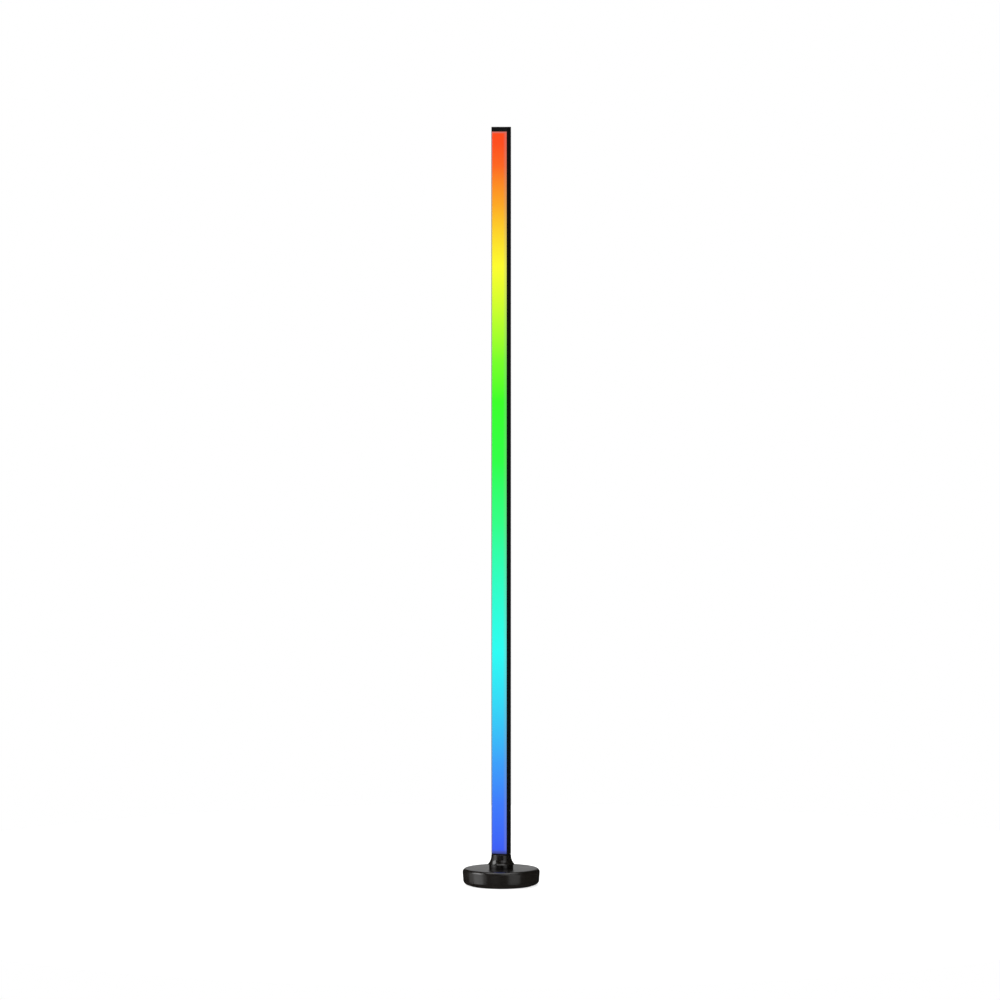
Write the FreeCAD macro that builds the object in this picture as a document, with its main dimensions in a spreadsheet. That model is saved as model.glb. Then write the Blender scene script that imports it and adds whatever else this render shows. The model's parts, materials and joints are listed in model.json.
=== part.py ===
import FreeCAD, Part
import math
import os
import types

import Sketcher

# A corner floor lamp: a square black column with a lit front, on a neck and a round weighted base.
# Millimetres. The origin is the centre of the foot print on the floor, +Z is up, and the lit
# face looks along -Y. Every size that can be chosen by itself is one cell of the sheet below.

SIZES = {
    # the lamp as a whole
    "lamp_height": 1420.0,
    # column: extruded channel, open at the front
    "column_side": 30.0,
    "channel_wall": 1.4,
    "lip_wall": 0.6,
    "lip_depth": 1.8,
    "ridge_rise": 0.6,
    "ridge_width": 1.0,
    "ridge_step": 1.2,
    "web_depth": 11.1,
    "web_thickness": 1.2,
    "port_side": 4.2,
    # joiners between the column's sections
    "joiner_length": 60.0,
    "joiner_wall": 2.2,
    "joiner_hole_step": 15.0,
    # top cap and foot plate
    "cap_height": 9.0,
    "cap_edge": 1.0,
    "cap_wall": 2.2,
    "cap_plug": 12.0,
    "foot_plate": 3.0,
    "spigot_radius": 7.5,
    "spigot_length": 8.0,
    "peg_radius": 1.5,
    "peg_length": 2.5,
    "peg_pitch": 12.5,
    # diffuser
    "diffuser_proud": 0.6,
    "diffuser_bevel": 0.9,
    "diffuser_leg": 1.2,
    "leg_depth": 4.0,
    "barb_rise": 0.5,
    # light strip
    "strip_width": 10.0,
    "strip_thickness": 0.3,
    "tape_thickness": 0.15,
    "strip_end": 4.0,
    "chip_side": 5.0,
    "chip_height": 1.6,
    "chip_pitch": 16.6,
    "connector_width": 13.0,
    "connector_depth": 4.4,
    "connector_length": 13.0,
    "connector_grip": 4.0,
    "lead_radius": 1.5,
    "lead_rise": 13.5,
    "lead_bend": 5.0,
    "lead_lift": 1.0,
    # neck and collar
    "neck_radius": 18.6,
    "neck_height": 18.4,
    "neck_straight": 2.0,
    "neck_lip": 0.6,
    "flare_radius": 24.8,
    "neck_plate": 6.0,
    "neck_wall": 3.5,
    "collar_radius": 22.6,
    "collar_height": 7.4,
    "collar_wall": 3.4,
    "collar_floor": 3.0,
    "collar_edge": 0.5,
    "rim_depth": 3.6,
    # threaded tube that pulls the stack together
    "tube_radius": 5.0,
    "tube_bore": 3.5,
    "tube_end": 0.5,
    "nut_width": 14.0,
    "nut_height": 3.5,
    "washer_radius": 11.0,
    "washer_height": 1.5,
    "lock_washer_radius": 8.5,
    "lock_washer_height": 1.5,
    "lock_washer_slit": 1.0,
    # base
    "base_radius": 73.0,
    "base_taper": 1.6,
    "base_height": 32.0,
    "cover_edge": 7.0,
    "cover_wall": 2.5,
    "hub_radius": 14.0,
    "tray_edge": 9.0,
    "tray_floor": 3.0,
    "tongue_height": 2.5,
    "tongue_wall": 1.8,
    "pad_margin": 2.4,
    "pad_thickness": 2.0,
    "pad_recess": 0.5,
    "weight_gap": 1.4,
    "weight_height": 18.0,
    "weight_lift": 0.5,
    "weight_setback": 9.5,
    "nut_pocket_radius": 12.5,
    "nut_pocket_depth": 12.0,
    "groove_width": 8.0,
    "groove_depth": 5.0,
    "post_inset": 15.4,
    "post_radius": 3.6,
    "tray_boss_radius": 5.0,
    "tray_boss_height": 3.0,
    # rear panel: power inlet and button
    "panel_sink": 3.0,
    "panel_wall": 2.8,
    "panel_width": 34.0,
    "panel_height": 13.0,
    "port_axis_height": 18.0,
    "port_offset": 9.5,
    "inlet_port_radius": 5.5,
    "jack_width": 9.0,
    "jack_depth": 14.0,
    "jack_height": 10.6,
    "jack_bore": 3.15,
    "jack_bore_depth": 9.5,
    "jack_pin": 1.0,
    "jack_pin_recess": 1.0,
    "button_radius": 4.2,
    "button_proud": 1.2,
    "button_travel": 1.0,
    "button_flange": 1.2,
    "button_flange_rise": 1.4,
    "button_stem": 2.5,
    "button_stem_length": 3.4,
    "switch_side": 6.4,
    "switch_depth": 3.6,
    "plunger_radius": 1.6,
    "plunger_inside": 0.9,
    # controller board
    "board_width": 48.0,
    "board_depth": 27.0,
    "board_setback": 6.2,
    "board_thickness": 1.6,
    "board_hole_inset": 3.5,
    "board_post_radius": 2.8,
    "chip_body": 7.0,
    "chip_body_height": 1.4,
    "capacitor_radius": 3.2,
    "capacitor_height": 8.0,
    "socket_width": 8.4,
    "socket_depth": 6.0,
    "socket_height": 6.4,
    "socket_wall": 0.8,
    "plug_reach": 3.0,
    "plug_grip": 3.5,
    # screws
    "screw_radius": 1.5,
    "screw_head": 2.8,
    "screw_head_height": 1.7,
    "small_screw_radius": 1.2,
    "small_screw_head": 2.2,
    "small_screw_head_height": 1.5,
    "joiner_screw_length": 7.0,
    "foot_screw_length": 12.0,
    "tray_screw_length": 12.0,
    "board_screw_length": 6.0,
    # clearances
    "slip_gap": 0.2,
    "thread_gap": 0.05,
    "running_gap": 0.3,
    "hole_gap": 0.3,
    "rest_gap": 0.1,
}

SECTIONS = ("channel_lower", "channel_middle", "channel_upper")
SCREW_POSTS = 4
HEXAGON = 6
SOCKET_SHARE = 0.5  # a screw's hex socket against its head, across and deep
QUARTER = 90.0
BEYOND = 1.0  # how far a cutter runs past a face, or a joined post into the wall it meets
TOLERANCE = 0.01
START, STOP, CENTRE = 1, 2, 3  # points of a sketch element
ACROSS, UPWARD = -1, -2  # a sketch's own axes, of which the first also holds its origin

doc = FreeCAD.newDocument("corner_floor_lamp")


class Size:
    """A length that knows both its number and the sheet formula it comes from."""

    def __init__(self, number, formula):
        self.number = float(number)
        self.formula = formula

    def joined(self, other, sign, number):
        return Size(number, "(%s %s %s)" % (self.formula, sign, other.formula))

    def __add__(self, other):
        other = as_size(other)
        return self.joined(other, "+", self.number + other.number)

    def __sub__(self, other):
        other = as_size(other)
        return self.joined(other, "-", self.number - other.number)

    def __mul__(self, other):
        other = as_size(other)
        return self.joined(other, "*", self.number * other.number)

    def __truediv__(self, other):
        other = as_size(other)
        return self.joined(other, "/", self.number / other.number)

    def __radd__(self, other):
        return as_size(other) + self

    def __rsub__(self, other):
        return as_size(other) - self

    def __rmul__(self, other):
        return as_size(other) * self

    def __neg__(self):
        return Size(-self.number, "(-1 * %s)" % self.formula)


def as_size(value):
    """A plain number as a Size, and a Size as it is."""
    if isinstance(value, Size):
        return value
    return Size(value, repr(float(value)))


def make_sheet():
    """The sheet of driving dimensions, one alias a row, and the same values as Sizes."""
    sheet = doc.addObject("Spreadsheet::Sheet", "Sizes")
    named = {}
    for row, (name, value) in enumerate(SIZES.items(), start=1):
        sheet.set("A%d" % row, name)
        sheet.set("B%d" % row, str(value))
        sheet.setAlias("B%d" % row, name)
        named[name] = Size(value, "Sizes." + name)
    doc.recompute()
    return types.SimpleNamespace(**named)


s = make_sheet()


# ---------------------------------------------------------------- small helpers


def bind(thing, prop, size):
    """Ties a property of a feature to the sheet."""
    thing.setExpression(prop, as_size(size).formula)


def move(thing, x=0.0, y=0.0, z=0.0, rotation=None):
    """Places a feature at a point given in sheet values."""
    if rotation is not None:
        thing.Placement = FreeCAD.Placement(FreeCAD.Vector(0, 0, 0), rotation)
    for axis, at in zip("xyz", (x, y, z)):
        bind(thing, "Placement.Base." + axis, at)
    return thing


def block(label, x, y, z):
    """A box between low and high values on each axis."""
    box = doc.addObject("Part::Box", label)
    for prop, (low, high) in zip(("Length", "Width", "Height"), (x, y, z)):
        bind(box, prop, as_size(high) - low)
    return move(box, x[0], y[0], z[0])


def rod(label, radius, low, high, x=0.0, y=0.0):
    """An upright cylinder between two heights."""
    cylinder = doc.addObject("Part::Cylinder", label)
    bind(cylinder, "Radius", radius)
    bind(cylinder, "Height", as_size(high) - low)
    return move(cylinder, x, y, low)


def rod_along_y(label, radius, low, high, x=0.0, z=0.0):
    """A cylinder along Y between two values of y."""
    cylinder = doc.addObject("Part::Cylinder", label)
    bind(cylinder, "Radius", radius)
    bind(cylinder, "Height", as_size(high) - low)
    return move(cylinder, x, low, z, FreeCAD.Rotation(FreeCAD.Vector(1, 0, 0), -QUARTER))


def fuse(label, *pieces):
    joined = doc.addObject("Part::MultiFuse", label)
    joined.Shapes = list(pieces)
    return joined


def cut(label, base, *tools):
    """Base less the tools, which are fused first when there are several."""
    less = doc.addObject("Part::Cut", label)
    less.Base = base
    less.Tool = tools[0] if len(tools) == 1 else fuse(label + "_tools", *tools)
    return less


def common(label, first, second):
    both = doc.addObject("Part::Common", label)
    both.Base = first
    both.Tool = second
    return both


def group(label, pieces):
    """Identical loose pieces kept as one sub-part of separate solids."""
    together = doc.addObject("Part::Compound", label)
    together.Links = list(pieces)
    return together


def coded(label, shape):
    """A sub-part whose shape is worked out in code from the sheet's values."""
    feature = doc.addObject("Part::Feature", label)
    feature.Shape = shape
    feature.Placement = FreeCAD.Placement()
    return feature


def origin_plane(body, role):
    return next(part for part in body.Origin.OriginFeatures if part.Role == role)


def new_sketch(body, label, role, height=None):
    """A sketch flat on one of the body's own origin planes, lifted by height."""
    sketch = body.newObject("Sketcher::SketchObject", label)
    sketch.AttachmentSupport = (origin_plane(body, role), [""])
    sketch.MapMode = "FlatFace"
    if height is not None:
        bind(sketch, "AttachmentOffset.Base.z", height)
    return sketch


def pin_point(sketch, geometry, end, x, y):
    """Ties one end of a sketch element to the sheet, or to an axis where the value is zero."""
    for kind, axis, value in (("DistanceX", UPWARD, x), ("DistanceY", ACROSS, y)):
        value = as_size(value)
        if value.number == 0.0:
            sketch.addConstraint(Sketcher.Constraint("PointOnObject", geometry, end, axis))
            continue
        tie = Sketcher.Constraint(kind, ACROSS, START, geometry, end, value.number)
        number = sketch.addConstraint(tie)
        bind(sketch, "Constraints[%d]" % number, value)


def arc_between(start, stop, radius):
    """The short arc from start to stop, bending left for a positive radius, and its sense."""
    middle = (start + stop) * 0.5
    chord = stop - start
    left = FreeCAD.Vector(-chord.y, chord.x, 0).normalize()
    reach = abs(radius)
    rise = math.sqrt(reach * reach - chord.Length * chord.Length / 4)
    centre = middle + left * math.copysign(rise, radius)
    circle = Part.Circle(centre, FreeCAD.Vector(0, 0, 1), reach)
    angles = [math.atan2(point.y - centre.y, point.x - centre.x) for point in (start, stop)]
    if radius < 0:
        angles.reverse()
    return Part.ArcOfCircle(circle, *angles)


def draw_loop(sketch, corners):
    """A closed loop of straight edges, or an arc where a corner gives a third value, its radius."""
    ends = []
    points = [FreeCAD.Vector(as_size(c[0]).number, as_size(c[1]).number, 0) for c in corners]
    for index, corner in enumerate(corners):
        start = points[index]
        stop = points[(index + 1) % len(points)]
        if len(corner) == 2:
            edge = sketch.addGeometry(Part.LineSegment(start, stop))
            ends.append((edge, START, STOP))
            continue
        bend = corner[2]
        edge = sketch.addGeometry(arc_between(start, stop, bend.number))
        ends.append((edge, START, STOP) if bend.number > 0 else (edge, STOP, START))
        reach = bend if bend.number > 0 else -bend
        tie = sketch.addConstraint(Sketcher.Constraint("Radius", edge, reach.number))
        bind(sketch, "Constraints[%d]" % tie, reach)
    for index, (edge, start_end, stop_end) in enumerate(ends):
        following = ends[(index + 1) % len(ends)]
        meet = Sketcher.Constraint("Coincident", edge, stop_end, following[0], following[1])
        sketch.addConstraint(meet)
        pin_point(sketch, edge, start_end, corners[index][0], corners[index][1])


def draw_circle(sketch, x, y, radius):
    centre = FreeCAD.Vector(as_size(x).number, as_size(y).number, 0)
    circle = sketch.addGeometry(Part.Circle(centre, FreeCAD.Vector(0, 0, 1), radius.number))
    pin_point(sketch, circle, CENTRE, x, y)
    number = sketch.addConstraint(Sketcher.Constraint("Radius", circle, radius.number))
    bind(sketch, "Constraints[%d]" % number, radius)


def new_body(label):
    return doc.addObject("PartDesign::Body", label)


def extruded(label, loops, low, high, circles=()):
    """A body padded up from a flat section of loops and round holes."""
    body = new_body(label)
    sketch = new_sketch(body, label + "_section", "XY_Plane", low)
    for loop in loops:
        draw_loop(sketch, loop)
    for x, y, radius in circles:
        draw_circle(sketch, x, y, radius)
    pad = body.newObject("PartDesign::Pad", label + "_pad")
    pad.Profile = sketch
    bind(pad, "Length", as_size(high) - low)
    body.Tip = pad
    return body


def turned(label, corners):
    """A body turned about the upright axis from a half section of radius and height."""
    body = new_body(label)
    sketch = new_sketch(body, label + "_section", "XZ_Plane")
    draw_loop(sketch, corners)
    spun = body.newObject("PartDesign::Revolution", label + "_turn")
    spun.Profile = sketch
    spun.ReferenceAxis = (sketch, ["V_Axis"])
    spun.Angle = 360.0
    body.Tip = spun
    return body


def round_edges(body, label, radius, wanted):
    """Rounds the edges of the body's last feature that the test picks."""
    doc.recompute()
    last = body.Tip
    names = ["Edge%d" % n for n, edge in enumerate(last.Shape.Edges, start=1) if wanted(edge)]
    fillet = body.newObject("PartDesign::Fillet", label)
    fillet.Base = (last, names)
    bind(fillet, "Radius", radius)
    body.Tip = fillet
    return body


def near(first, second):
    return abs(first - second) < TOLERANCE


def screw(label, radius, length, head_radius, head_height, flush=False):
    """A screw along Z, its head above zero and its shank below, or all below if flush."""
    shank = rod(label + "_shank", radius, -length, 0.0)
    if flush:
        head = doc.addObject("Part::Cone", label + "_head")
        bind(head, "Radius1", radius)
        bind(head, "Radius2", head_radius)
        bind(head, "Height", head_height)
        move(head, 0.0, 0.0, -head_height)
        top = as_size(0.0)
    else:
        head = rod(label + "_head", head_radius, 0.0, head_height)
        top = head_height
    drive = doc.addObject("Part::Prism", label + "_drive")
    drive.Polygon = HEXAGON
    bind(drive, "Circumradius", head_radius * SOCKET_SHARE)
    bind(drive, "Height", head_height)
    move(drive, 0.0, 0.0, top - head_height * SOCKET_SHARE)
    return cut(label, fuse(label + "_blank", shank, head), drive)


UPSIDE_DOWN = FreeCAD.Rotation(FreeCAD.Vector(1, 0, 0), 2 * QUARTER)
HEAD_TO_REAR = FreeCAD.Rotation(FreeCAD.Vector(1, 0, 0), -QUARTER)


# ---------------------------------------------------------------- heights and depths used by several pieces

tray_bottom = s.pad_thickness - s.pad_recess
floor_top = tray_bottom + s.tray_floor
part_line = tray_bottom + s.tray_edge
cover_inside = s.base_height - s.cover_wall
weight_bottom = floor_top + s.weight_lift
weight_top = weight_bottom + s.weight_height
collar_top = s.base_height + s.collar_height
neck_top = collar_top + s.neck_height
foot_top = neck_top + s.foot_plate
cap_bottom = s.lamp_height - s.cap_height
section_length = (cap_bottom - foot_top) / len(SECTIONS)

half = s.column_side / 2
inner = half - s.channel_wall
port_edge = inner - s.port_side
web_front = s.web_depth - half
web_back = web_front + s.web_thickness
lip_back = s.lip_depth - half
ridge_front = lip_back + s.ridge_step
ridge_back = ridge_front + s.ridge_width

strip_back = web_front - s.tape_thickness
strip_front = strip_back - s.strip_thickness
lead_exit = foot_top + s.lead_rise
connector_top = lead_exit + s.connector_length / 2
strip_top = cap_bottom - s.strip_end

hole_radius = s.tube_radius + s.hole_gap
tapped_radius = s.tube_radius + s.thread_gap
tube_top = foot_top - s.tube_end
nut_pocket_top = weight_bottom + s.nut_pocket_depth
nut_top = nut_pocket_top - s.washer_height - s.lock_washer_height
tube_bottom = nut_top - s.nut_height - s.tube_end

screw_hole = s.screw_radius + s.slip_gap
screw_pilot = s.screw_radius + s.thread_gap

low_radius = s.base_radius - s.base_taper
pad_radius = low_radius - s.tray_edge - s.pad_margin
post_pitch = low_radius - s.post_inset
weight_radius = post_pitch - s.post_radius - s.weight_gap
panel_face = s.base_radius - s.panel_sink
panel_inside = panel_face - s.panel_wall
board_back = panel_inside - s.board_setback
board_front = board_back - s.board_depth
weight_flat = board_front - s.weight_setback
board_top = s.port_axis_height - s.socket_height
board_bottom = board_top - s.board_thickness
lead_low = floor_top + s.lead_lift + s.lead_radius


def section_top(number):
    """The height of the top of a column section, counted from 1 at the foot."""
    return foot_top + section_length * number


def port_centres():
    """Middles of the four screw ports that run up the inside corners of the channel."""
    x = inner - s.port_side / 2
    front = web_back + s.port_side / 2
    return [(-x, front), (x, front), (-x, x), (x, x)]


def on_circle(pitch, count, start=0.5):
    """Points evenly round the axis, the first one turned by a share of a step."""
    points = []
    for number in range(count):
        angle = 2 * math.pi * (number + start) / count
        points.append((pitch * round(math.cos(angle), 9), pitch * round(math.sin(angle), 9)))
    return points


# ---------------------------------------------------------------- column


def channel_section():
    """Outer outline with the front trough, and the closed chamber behind the web."""
    ridge = inner - s.ridge_rise
    right = [
        (half - s.lip_wall, lip_back),
        (inner, lip_back),
        (inner, ridge_front),
        (ridge, ridge_front),
        (ridge, ridge_back),
        (inner, ridge_back),
        (inner, web_front),
    ]
    left = [(-x, y) for x, y in reversed(right)]
    outline = [(half, half), (-half, half), (-half, -half), (s.lip_wall - half, -half)]
    outline += list(reversed(left))
    outline += list(reversed(right))
    outline += [(half - s.lip_wall, -half), (half, -half)]
    front = web_back + s.port_side
    chamber = [
        (port_edge, web_back),
        (port_edge, front),
        (inner, front),
        (inner, port_edge),
        (port_edge, port_edge),
        (port_edge, inner),
    ]
    chamber += [(-x, y) for x, y in reversed(chamber)]
    return [outline, chamber]


def make_channel(label, number):
    """One section of the column, with its share of the joiners' screw holes."""
    low = section_top(number - 1)
    high = section_top(number)
    ports = [(x, y, screw_pilot) for x, y in port_centres()]
    bar = extruded(label + "_bar", channel_section(), low, high, ports)
    holes = []
    if number > 1:
        holes.append(rear_hole(label + "_hole_low", low + s.joiner_hole_step))
    if number < len(SECTIONS):
        holes.append(rear_hole(label + "_hole_high", high - s.joiner_hole_step))
    if number == 1:
        way = s.lead_radius + s.hole_gap
        back = web_back + s.running_gap
        holes.append(rod_along_y(label + "_lead_way", way, web_front - s.running_gap, back, 0.0, lead_exit))
    return cut(label, bar, *holes)


def rear_hole(label, height):
    """A clearance hole through the rear wall of the column."""
    return rod_along_y(label, screw_hole, inner - s.running_gap, half + s.running_gap, 0.0, height)


def make_joiner(label, height):
    """A box tube inside the chamber that bridges two sections."""
    low = height - s.joiner_length / 2
    high = height + s.joiner_length / 2
    side = port_edge - s.slip_gap
    front = web_back + s.slip_gap
    back = inner - s.slip_gap
    tube = block(label + "_bar", (-side, side), (front, back), (low, high))
    core_x = (s.joiner_wall - side, side - s.joiner_wall)
    core_y = (front + s.joiner_wall, back - s.joiner_wall)
    core = block(label + "_core", core_x, core_y, (low - BEYOND, high + BEYOND))
    holes = []
    for number, step in enumerate((-s.joiner_hole_step, s.joiner_hole_step)):
        name = "%s_tapped_%d" % (label, number)
        low_y = back - s.joiner_wall - BEYOND
        holes.append(rod_along_y(name, screw_pilot, low_y, back + BEYOND, 0.0, height + step))
    return cut(label, tube, core, *holes)


def make_joiner_screws():
    pieces = []
    for joint in range(1, len(SECTIONS)):
        for step in (-s.joiner_hole_step, s.joiner_hole_step):
            name = "joiner_screw_%d" % len(pieces)
            one = screw(name, s.screw_radius, s.joiner_screw_length, s.screw_head, s.screw_head_height)
            pieces.append(move(one, 0.0, half, section_top(joint) + step, HEAD_TO_REAR))
    return group("joiner_screws", pieces)


def make_top_cap():
    """A moulded cap as wide as the column, hollow below, with a plug in the chamber."""
    square = [(half, half), (-half, half), (-half, -half), (half, -half)]
    lid = extruded("cap_lid", [square], cap_bottom, s.lamp_height)
    top = s.lamp_height.number
    round_edges(lid, "cap_lid_round", s.cap_edge, lambda edge: near(edge.BoundBox.ZMin, top))
    side = port_edge - s.slip_gap
    front = web_back + s.slip_gap
    back = inner - s.slip_gap
    bottom = cap_bottom - s.cap_plug
    plug = block("cap_plug_bar", (-side, side), (front, back), (bottom, cap_bottom + s.cap_wall))
    core_x = (s.cap_wall - side, side - s.cap_wall)
    core_y = (front + s.cap_wall, back - s.cap_wall)
    core = block("cap_core", core_x, core_y, (bottom - BEYOND, s.lamp_height - s.cap_wall))
    return cut("top_cap", fuse("cap_blank", lid, plug), core)


def make_column_foot():
    """The end plate under the column, with a tapped spigot and two pegs for the neck."""
    plate = block("foot_plate_bar", (-half, half), (-half, half), (neck_top, foot_top))
    spigot = rod("foot_spigot", s.spigot_radius, neck_top - s.spigot_length, neck_top)
    pegs = []
    for number, y in enumerate((-s.peg_pitch, s.peg_pitch)):
        pegs.append(rod("foot_peg_%d" % number, s.peg_radius, neck_top - s.peg_length, neck_top, 0.0, y))
    blank = fuse("foot_blank", plate, spigot, *pegs)
    low = neck_top - s.spigot_length - BEYOND
    holes = [rod("foot_tapped", tapped_radius, low, foot_top + BEYOND)]
    for number, (x, y) in enumerate(port_centres()):
        holes.append(rod("foot_hole_%d" % number, screw_hole, neck_top - BEYOND, foot_top + BEYOND, x, y))
        sink = doc.addObject("Part::Cone", "foot_sink_%d" % number)
        bind(sink, "Radius1", s.screw_head + s.slip_gap)
        bind(sink, "Radius2", screw_hole)
        bind(sink, "Height", s.screw_head_height)
        holes.append(move(sink, x, y, neck_top))
    return cut("column_foot", blank, *holes)


def make_foot_screws():
    pieces = []
    for number, (x, y) in enumerate(port_centres()):
        name = "foot_screw_%d" % number
        one = screw(name, s.screw_radius, s.foot_screw_length, s.screw_head, s.screw_head_height, flush=True)
        pieces.append(move(one, x, y, neck_top + s.thread_gap, UPSIDE_DOWN))
    return group("foot_screws", pieces)


# ---------------------------------------------------------------- light


def make_diffuser():
    """One milky strip from foot to cap: a bevelled front and two legs that snap past the ridges."""
    side = half - s.lip_wall - s.slip_gap
    front = -half - s.diffuser_proud
    leg = inner - s.ridge_rise - s.slip_gap
    leg_in = leg - s.diffuser_leg
    barb = leg + s.barb_rise
    barb_front = ridge_back + s.slip_gap
    leg_back = lip_back + s.leg_depth
    right = [
        (side - s.diffuser_bevel, front),
        (side, front + s.diffuser_bevel),
        (side, lip_back),
        (leg, lip_back),
        (leg, barb_front),
        (barb, barb_front),
        (leg, leg_back),
        (leg_in, leg_back),
        (leg_in, lip_back),
    ]
    outline = right + [(-x, y) for x, y in reversed(right)]
    return extruded("diffuser", [outline], foot_top, cap_bottom)


def make_strip_tape():
    x = (-s.strip_width / 2, s.strip_width / 2)
    return block("strip_tape", x, (strip_back, web_front), (connector_top, strip_top))


def make_led_strip():
    x = (-s.strip_width / 2, s.strip_width / 2)
    return block("led_strip", x, (strip_front, strip_back), (connector_top - s.connector_grip, strip_top))


def make_led_chips():
    """A row of square lamps up the strip, as many as its length takes."""
    side = s.chip_side.number
    first = connector_top.number + s.chip_pitch.number / 2
    room = strip_top.number - s.chip_side.number - first
    count = int(room / s.chip_pitch.number) + 1
    corner = FreeCAD.Vector(-side / 2, (strip_front - s.chip_height).number, first - side / 2)
    one = Part.makeBox(side, s.chip_height.number, side, corner)
    chips = []
    for number in range(count):
        chips.append(one.translated(FreeCAD.Vector(0, 0, number * s.chip_pitch.number)))
    print("led_chips: %d" % count)
    return coded("led_chips", Part.makeCompound(chips))


def make_strip_connector():
    """The clip on the strip's lower end, over the lead's way through the web."""
    side = s.connector_width / 2
    low = lead_exit - s.connector_length / 2
    y = (web_front - s.connector_depth, web_front)
    clip = block("connector_block", (-side, side), y, (low, connector_top))
    slot_side = s.strip_width / 2 + s.slip_gap
    slot_low = connector_top - s.connector_grip - s.slip_gap
    slot_y = (strip_front - s.thread_gap, strip_back + s.thread_gap)
    slot = block("connector_slot", (-slot_side, slot_side), slot_y, (slot_low, connector_top + BEYOND))
    return cut("strip_connector", clip, slot)


def lead_path():
    """The lead's middle line, in the plane x = 0: from the board's plug through the weight's
    groove, up the tube, back into the chamber and forward through the web. Straight runs
    joined by arcs."""
    plug_y = (board_front - s.plug_reach).number
    plug_z = s.port_axis_height.number - s.socket_height.number / 2
    low = lead_low.number
    step = (plug_z - low) / 2
    bend = s.lead_bend.number
    exit_z = lead_exit.number
    rise = exit_z - bend - foot_top.number
    turn = 2 * math.atan(bend / rise)
    sway = bend / (2 * (1 - math.cos(turn)))
    runs = [(plug_y, plug_z)]
    runs.append(("arc", (plug_y - step, low + step), quarter_middle(plug_y, low + step, step, 135)))
    runs.append(("arc", (plug_y - 2 * step, low), quarter_middle(plug_y - 2 * step, low + step, step, -45)))
    runs.append((bend, low))
    runs.append(("arc", (0.0, low + bend), quarter_middle(bend, low + bend, bend, -135)))
    runs.append((0.0, foot_top.number))
    half_turn = turn / 2
    first = (sway - sway * math.cos(half_turn), foot_top.number + sway * math.sin(half_turn))
    middle = (bend / 2, foot_top.number + rise / 2)
    runs.append(("arc", middle, first))
    second = (bend - first[0], 2 * middle[1] - first[1])
    runs.append(("arc", (bend, foot_top.number + rise), second))
    runs.append(("arc", (0.0, exit_z), quarter_middle(0.0, exit_z - bend, bend, 45)))
    runs.append((web_front.number, exit_z))
    return runs


def quarter_middle(y, z, radius, degrees):
    """The point on a circle round (y, z) at an angle from +Y towards +Z."""
    angle = math.radians(degrees)
    return (y + radius * math.cos(angle), z + radius * math.sin(angle))


def make_strip_lead():
    """A round cable swept along its path. Its volume is compared with section times length."""
    runs = lead_path()
    at = FreeCAD.Vector(0, *runs[0])
    edges = []
    for run in runs[1:]:
        if run[0] == "arc":
            end = FreeCAD.Vector(0, *run[1])
            edges.append(Part.Arc(at, FreeCAD.Vector(0, *run[2]), end).toShape())
        else:
            end = FreeCAD.Vector(0, *run)
            edges.append(Part.LineSegment(at, end).toShape())
        at = end
    path = Part.Wire(edges)
    start = FreeCAD.Vector(0, *runs[0])
    ring = Part.Wire(Part.Circle(start, FreeCAD.Vector(0, 1, 0), s.lead_radius.number).toShape())
    lead = path.makePipeShell([ring], True, False)
    expected = math.pi * s.lead_radius.number**2 * path.Length
    print("strip_lead: %.1f mm long, volume %.4f of expected" % (path.Length, lead.Volume / expected))
    return coded("strip_lead", lead)


# ---------------------------------------------------------------- neck, collar and the tube through them


def make_neck():
    """A flared moulding: a concave curve from the column's width out to the lip."""
    spread = s.flare_radius - s.neck_radius
    lip_top = collar_top + s.neck_lip
    curve_top = neck_top - s.neck_straight
    tall = curve_top - lip_top
    curve = (spread * spread + tall * tall) / (2 * spread)
    bore = s.spigot_radius + s.slip_gap
    core = s.neck_radius - s.neck_wall
    rim = s.collar_radius - s.collar_wall - s.slip_gap
    rim_in = rim - s.collar_wall / 2
    core_top = neck_top - s.neck_plate
    outline = [
        (bore, neck_top),
        (bore, core_top),
        (core, core_top),
        (core, collar_top + spread),
        (rim_in, collar_top),
        (rim_in, collar_top - s.rim_depth),
        (rim, collar_top - s.rim_depth),
        (rim, collar_top),
        (s.flare_radius, collar_top),
        (s.flare_radius, lip_top, -curve),
        (s.neck_radius, curve_top),
        (s.neck_radius, neck_top),
    ]
    bell = turned("neck_bell", outline)
    holes = []
    peg_hole = s.peg_radius + s.slip_gap
    low = neck_top - s.peg_length - s.slip_gap
    for number, y in enumerate((-s.peg_pitch, s.peg_pitch)):
        holes.append(rod("neck_peg_hole_%d" % number, peg_hole, low, neck_top + BEYOND, 0.0, y))
    return cut("neck", bell, *holes)


def make_neck_collar():
    """The cup between base and neck, a little narrower than the flare above it."""
    inside = s.collar_radius - s.collar_wall
    outline = [
        (hole_radius, s.base_height),
        (s.collar_radius, s.base_height),
        (s.collar_radius, collar_top - s.collar_edge),
        (s.collar_radius - s.collar_edge, collar_top),
        (inside, collar_top),
        (inside, s.base_height + s.collar_floor),
        (hole_radius, s.base_height + s.collar_floor),
    ]
    return turned("neck_collar", outline)


def make_threaded_tube():
    tube = rod("tube_bar", s.tube_radius, tube_bottom, tube_top)
    bore = rod("tube_bore_rod", s.tube_bore, tube_bottom - BEYOND, tube_top + BEYOND)
    return cut("threaded_tube", tube, bore)


def make_tube_nut():
    nut = doc.addObject("Part::Prism", "nut_hexagon")
    nut.Polygon = HEXAGON
    bind(nut, "Circumradius", s.nut_width / math.sqrt(3))
    bind(nut, "Height", s.nut_height)
    move(nut, 0.0, 0.0, nut_top - s.nut_height)
    hole = rod("nut_tapped", tapped_radius, nut_top - s.nut_height - BEYOND, nut_top + BEYOND)
    return cut("tube_nut", nut, hole)


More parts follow.
